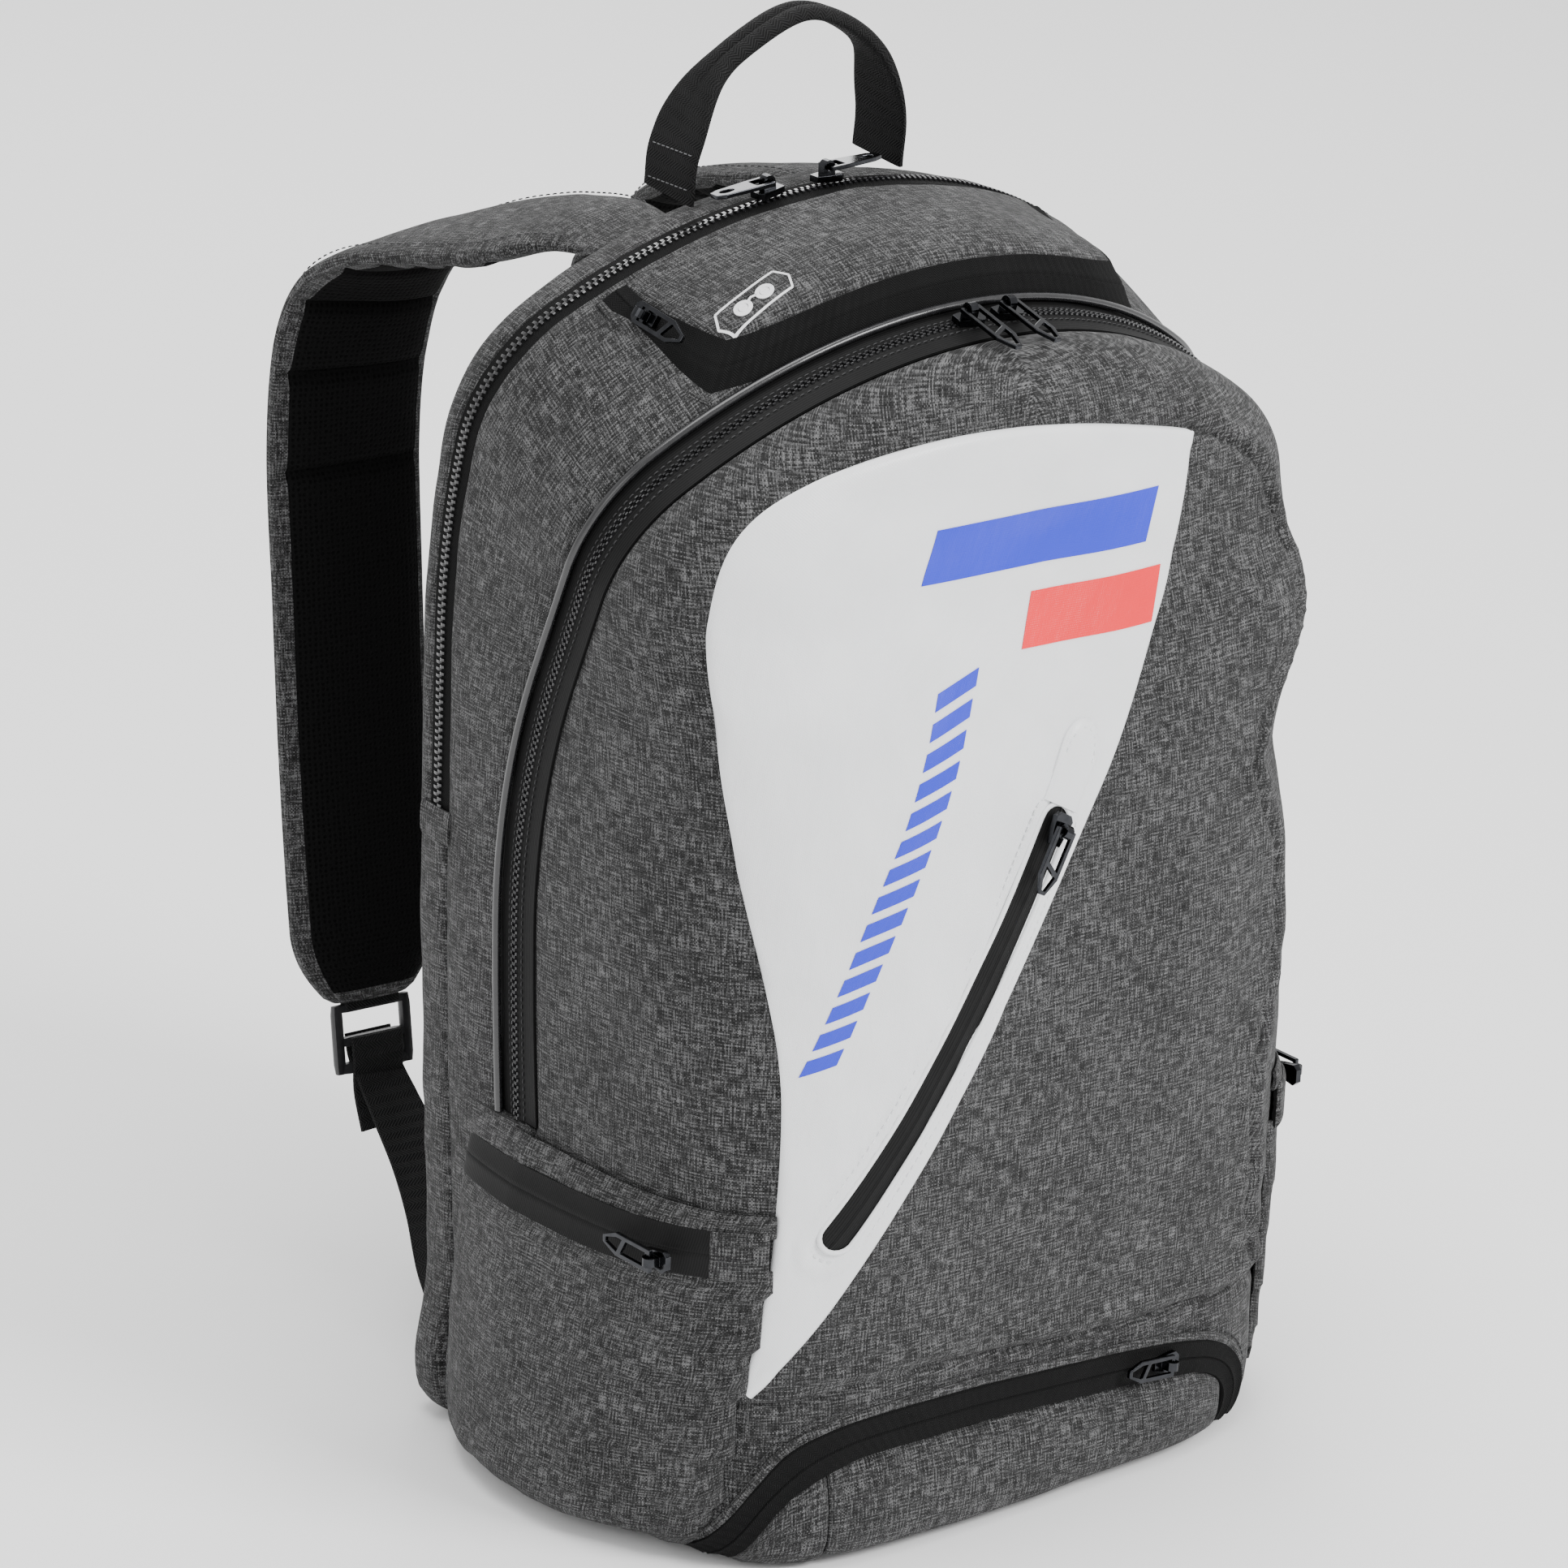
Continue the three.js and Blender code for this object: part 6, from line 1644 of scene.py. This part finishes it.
def make_locks(centre, across, down):
    """A moulded ladder lock with rounded bars and two slots."""
    up_plane = -down
    level = unit(across - up_plane * (across @ up_plane))
    facing = np.cross(level, up_plane)
    for name, side in (("left", 1), ("right", -1)):
        bars = []
        for height, radius in ((13, 2.0), (-1.2, 2.2), (-12.5, 2.6)):
            bars.append((np.array([(-15.5, height), (15.5, height)]), radius))
        for x in (-17, 17):
            bars.append((np.array([(x, -13), (x, 13)]), 2.3))
        work = bmesh.new()
        for line, radius in bars:
            ends = [centre + level * p[0] + up_plane * p[1] for p in line]
            direction = unit(ends[1] - ends[0])
            side_way = np.cross(direction, facing)
            steps = np.array([-1.0, -0.72, -0.3, 0.3, 0.72, 1.0])
            length = np.linalg.norm(ends[1] - ends[0]) / 2 + 1.5
            middle = (ends[0] + ends[1]) / 2
            rings = []
            for s in steps:
                shrink = 1.0 if abs(s) < 0.9 else 0.8
                ring = []
                for k in range(12):
                    a = 2 * math.pi * (k + 0.5) / 12
                    reach = (abs(math.cos(a)) ** 4 + abs(math.sin(a)) ** 4) ** -0.25
                    p = middle + direction * length * s + side_way * radius * shrink * reach * math.cos(a)
                    p = p + facing * 2.0 * shrink * reach * math.sin(a)
                    ring.append(work.verts.new(Vector((mirror(p) if side < 0 else p) * MM)))
                rings.append(ring)
            for first, second in zip(rings, rings[1:]):
                for k in range(12):
                    n = (k + 1) % 12
                    work.faces.new((first[k], first[n], second[n], second[k]))
            work.faces.new(rings[0][::-1])
            work.faces.new(rings[-1])
        mesh = bpy.data.meshes.new(f"{name}_lock_frame")
        bmesh.ops.recalc_face_normals(work, faces=work.faces)
        work.to_mesh(mesh)
        work.free()
        mesh.materials.append(MATERIALS["plastic"])
        mesh.polygons.foreach_set("use_smooth", np.ones(len(mesh.polygons), bool))
        mesh.set_sharp_from_angle(angle=math.radians(50))
        lock = bpy.data.objects.new(f"{name}_lock_frame", mesh)
        bpy.context.scene.collection.objects.link(lock)
        piece(lock, f"{name}_strap", "black_plastic", f"{name}_ladder_lock")


def make_lower_webbing(lock_centre, across, down):
    for name, side in (("left", 1), ("right", -1)):
        line = spline(LOWER_WEBBING_LINE, 70)
        share = np.linspace(0, 1, 70)[:, None]
        across_line = np.array([1, 0.1, 0]) * (1 - share) + np.array([0.6, 0.25, 0.75]) * share
        # The webbing starts round the middle bar of the lock.
        start = lock_centre - down * 1.0 + np.array([0, 3.0, 0])
        lead = spline([start, start + down * 9 + np.array([0, -1.5, 0]), line[0], line[6]], 24)
        line = np.vstack([lead[:-1], line[6:]])
        line = resample(line, 80)
        run = np.linspace(0, 1, len(line))
        across_line = np.stack([np.interp(run, share[:, 0], across_line[:, k]) for k in range(3)], axis=1)
        if side < 0:
            line, across_line = mirror(line), mirror(across_line)
        web = ribbon(f"{name}_lower_web", line, across_line, 25, 1.7, "webbing")
        sewn, free = metres(side * -120, 108, 36), metres(side * -112, 134, 43)
        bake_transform(web)
        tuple(sewn)
        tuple(free)
        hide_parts(f"{name}_lower_webbing")
        # The free tail hangs from the lock.
        tail = spline([
            lock_centre - down * 1.0 + np.array([0, -3.0, 0]),
            lock_centre + down * 8 + np.array([0, -3.4, 0]),
            lock_centre + down * 22 + np.array([0, -2.2, 0]),
            lock_centre + down * 38 + np.array([1, -4.0, 0]),
        ], 30)
        across_tail = np.tile(across, (30, 1))
        if side < 0:
            tail, across_tail = mirror(tail), mirror(across_tail)
        piece(ribbon(f"{name}_web_tail", tail, across_tail, 25, 1.6, "webbing"), f"{name}_strap", "webbing")
        # A sewn loop joins the end of the pad to the lock's upper bar.
        loop = spline([lock_centre - down * 24, lock_centre - down * 16, lock_centre - down * 12.5], 14)
        across_loop = np.tile(across, (14, 1))
        if side < 0:
            loop, across_loop = mirror(loop), mirror(across_loop)
        piece(ribbon(f"{name}_lock_loop", loop, across_loop, 27, 5.2, "webbing"), f"{name}_strap", "webbing")
        make_anchor(name, side)


def make_anchor(name, side):
    """The sewn triangle of cloth that holds the lower webbing on the back."""
    x0, z0 = -121, 34
    offsets = [(-15, -14), (8, -14), (17, 6), (2, 16), (-15, 2)]
    corners = np.array([(x0 + x, z0 + z) for x, z in offsets])
    middle = corners.mean(axis=0)
    rim = resample(np.vstack([corners, corners[:1]]), 61)
    rows = []
    for share in (0.02, 0.25, 0.5, 0.75, 0.9, 0.97, 1.0):
        flat = middle + (rim - middle) * share
        rise = 3.2 - 2.0 * smooth((share - 0.8) / 0.2)
        rows.append(np.stack([flat[:, 0], 0 * flat[:, 0] + 105.5 + rise, flat[:, 1]], axis=1))
    grid = np.array(rows)
    if side < 0:
        grid = mirror(grid)
    piece(cloth(f"{name}_anchor_cloth", grid, 1.2, ["grey", "grey"], outward=(0, -300, 34)),
          "root", "grey_fabric", f"{name}_anchor_tab")


def make_handle():
    points = (
        (-53, 80, 503), (-52, 78, 523), (-42, 73, 549), (-22, 69, 565), (0, 68, 572),
        (22, 69, 565), (42, 73, 549), (52, 78, 523), (53, 80, 503),
    )
    count = 150
    line = spline(points, count)
    share = np.linspace(0, 1, count)
    away = np.minimum(share, 1 - share)
    fold = smooth((away - 0.12) / 0.2)
    along = unit(np.gradient(line, axis=0))
    across = np.tile([0.0, 1, 0], (count, 1))
    across = unit(across - along * np.sum(across * along, axis=1, keepdims=True))
    up = np.cross(across, along)
    half, thick = lerp(15, 7.6, fold), lerp(1.2, 3.2, fold)
    angle = np.linspace(0, 2 * math.pi, 36, endpoint=False)
    power = lerp(7.0, 3.0, fold)[:, None]
    reach = np.abs(np.cos(angle))[None, :] ** power + np.abs(np.sin(angle))[None, :] ** power
    reach = reach ** (-1 / power)
    wide, high = np.cos(angle)[None, :] * reach, np.sin(angle)[None, :] * reach
    # Folded double in the hand, the webbing keeps a crease along its lower face.
    crease = 0.45 * fold[:, None] * np.exp(-((wide / 0.16) ** 2)) * (high * np.sign(line[:, 2:3] - 400) < 0)
    rings = line[:, None] + across[:, None] * (wide * half[:, None])[..., None]
    rings = rings + up[:, None] * (high * thick[:, None] * (1 - crease))[..., None]
    handle = tube("handle_webbing", rings, ["webbing"])
    piece(handle, "handle", "webbing", "grab_handle")
    for side, name in ((-1, "left"), (1, "right")):
        for height in (508.0, 522.0):
            y = np.linspace(67.5, 92.5, 30) - (height - 503) * 0.1
            x = np.interp(height, line[:count // 2, 2], line[:count // 2, 0])
            row = np.stack([np.full(30, side * (abs(x) + 1.35)), y, np.full(30, height)], axis=1)
            facing = np.tile([side, 0.0, 0.1], (30, 1))
            label = "low" if height < 515 else "high"
            piece(stitches(f"handle_thread_{name}_{label}", row, facing, "thread_grey", 2.6, 1.9, 0.4, 0.3),
                  "handle", "webbing")


# ------------------------------------------------------------------ back

def cushion(name, low, high, base_y, rise, columns, finishes, seed, *nodes):
    """A padded panel on the back: crowned, drawn in round its edge, with sewn channels."""
    (x0, z0), (x1, z1) = low, high
    wide, tall = x1 - x0, z1 - z0
    u, v = edge_shares(wide, 4), edge_shares(tall, 4)
    x, z = np.meshgrid(x0 + wide * u, z0 + tall * v)
    # Rounded corners: the outline is a superellipse.
    a, b = (x - (x0 + x1) / 2) / (wide / 2), (z - (z0 + z1) / 2) / (tall / 2)
    power = 7
    distance = (np.abs(a) ** power + np.abs(b) ** power) ** (1 / power)
    shrink = np.maximum(np.abs(a), np.abs(b)) / np.maximum(distance, 1e-6)
    a, b = a * shrink, b * shrink
    x, z = (x0 + x1) / 2 + a * wide / 2, (z0 + z1) / 2 + b * tall / 2
    near = np.minimum((1 - np.abs(a)) * wide / 2, (1 - np.abs(b)) * tall / 2)
    out = rise * (1 - np.exp(-near / 7)) ** 0.9
    for channel in columns:
        gap = np.abs(z - channel) if abs(channel) > 0 else np.abs(x)
        out = out - (rise * 0.55) * np.exp(-(gap / 2.6) ** 2) * (1 - np.exp(-near / 8))
    spots = np.stack([x, 0 * x, z], axis=-1)
    out = out + (0.5 * lumps(spots, 30, seed) + 0.2 * lumps(spots, 11, seed + 1)) * (1 - np.exp(-near / 6))
    grid = np.stack([x, base_y + out, z], axis=-1)
    depth = np.maximum(out - 0.2, 0.5)
    return cloth(name, grid, depth, finishes, outward=(0, -600, 250),
                 normals=np.tile([0.0, 1.0, 0.0], (*grid.shape[:2], 1)))


def make_back():
    panel_arch = BACK_EDGE.inset(2.9)
    left = panel_arch.left_half(SIDE_HEIGHTS)
    shares = edge_shares(290, 7)
    grid = np.array([[lerp(p, mirror(p), s) for s in shares] for p in left])
    width = np.linalg.norm(grid[:, -1] - grid[:, 0], axis=-1)[:, None]
    near = np.minimum(shares, 1 - shares)[None, :] * width
    grid[..., 1] += -0.8 * np.exp(-near / 3) + 0.25 * lumps(grid, 40, 101)
    panel = cloth("back_panel_mesh", grid, 6.5, ["mesh", "lining"], outward=(0, -600, 250))
    piece(panel, "root", "black_lining", "back_panel")
    for name, side in (("left", -1), ("right", 1)):
        low, high = ((-118, 132), (-16, 334)) if side < 0 else ((16, 132), (118, 334))
        channels = (182, 233, 284)
        pad = cushion(
            f"{name}_back_cushion", low, high, BACK_EDGE_Y + 0.3, 9.0, channels, ["mesh", "mesh"], 103,
        )
        piece(pad, "root", "black_mesh", f"{name}_back_pad")
    pad = cushion("lumbar_cushion", (-100, 50), (100, 118), BACK_EDGE_Y + 0.3, 9.0, (), ["mesh", "mesh"], 107)
    piece(pad, "root", "black_mesh", "lumbar_pad")
    # A folded strip covers the upper seams of the straps.
    rows = []
    for height in np.linspace(450, 488, 16):
        rows.append([BACK_EDGE.point(x, height) for x in np.linspace(-97, 97, 60)])
    grid = np.array(rows)
    u = np.linspace(0, 1, 16)[:, None]
    near = np.minimum(u, 1 - u) * 38
    spots = grid * np.array([1, 0, 1])
    grid[..., 1] += 0.8 + 1.8 * (1 - np.exp(-near / 2)) + 0.5 * lumps(spots, 18, 109)
    yoke = cloth("strap_seam_strip", grid, 1.5, ["grey", "grey"], outward=(0, -600, 250))
    piece(yoke, "root", "grey_fabric", "strap_yoke")
    for height, label in ((453.0, "low"), (485.0, "high")):
        line = np.array([BACK_EDGE.point(x, height) for x in np.linspace(-94, 94, 90)])
        line[:, 1] += 2.6
        facing = np.tile([0.0, 1.0, 0.15], (90, 1))
        piece(stitches(f"strap_seam_thread_{label}", line, facing, "thread_grey"), "root", "grey_fabric")


# ------------------------------------------------------------------ sliders, kept from the CAD

def finish_sliders():
    """The CAD's own sliders and pullers get a plated finish, and modifiers that round their edges."""
    for name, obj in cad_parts.items():
        if name.endswith("_slider") or name.endswith("_puller"):
            obj.data.materials.clear()
            obj.data.materials.append(MATERIALS["metal"])
            merge = obj.modifiers.new("merge", "WELD")
            merge.merge_threshold = 0.00002
            bevel = obj.modifiers.new("round", "BEVEL")
            bevel.width = 0.00042
            bevel.segments = 3
            bevel.limit_method = "ANGLE"
            bevel.angle_limit = math.radians(34)
            bevel.harden_normals = False
            bevel.use_clamp_overlap = True


# ------------------------------------------------------------------ assembly

make_camera()
make_studio()
MATERIALS = make_materials()
make_back_and_sides()
make_rear_zip()
make_front_zip()
surface = make_front()
make_white_panel(surface)
make_shoe_compartment(surface)
make_inside()
make_side_pockets()
make_top_pocket()
make_straps()
make_handle()
make_back()
finish_sliders()
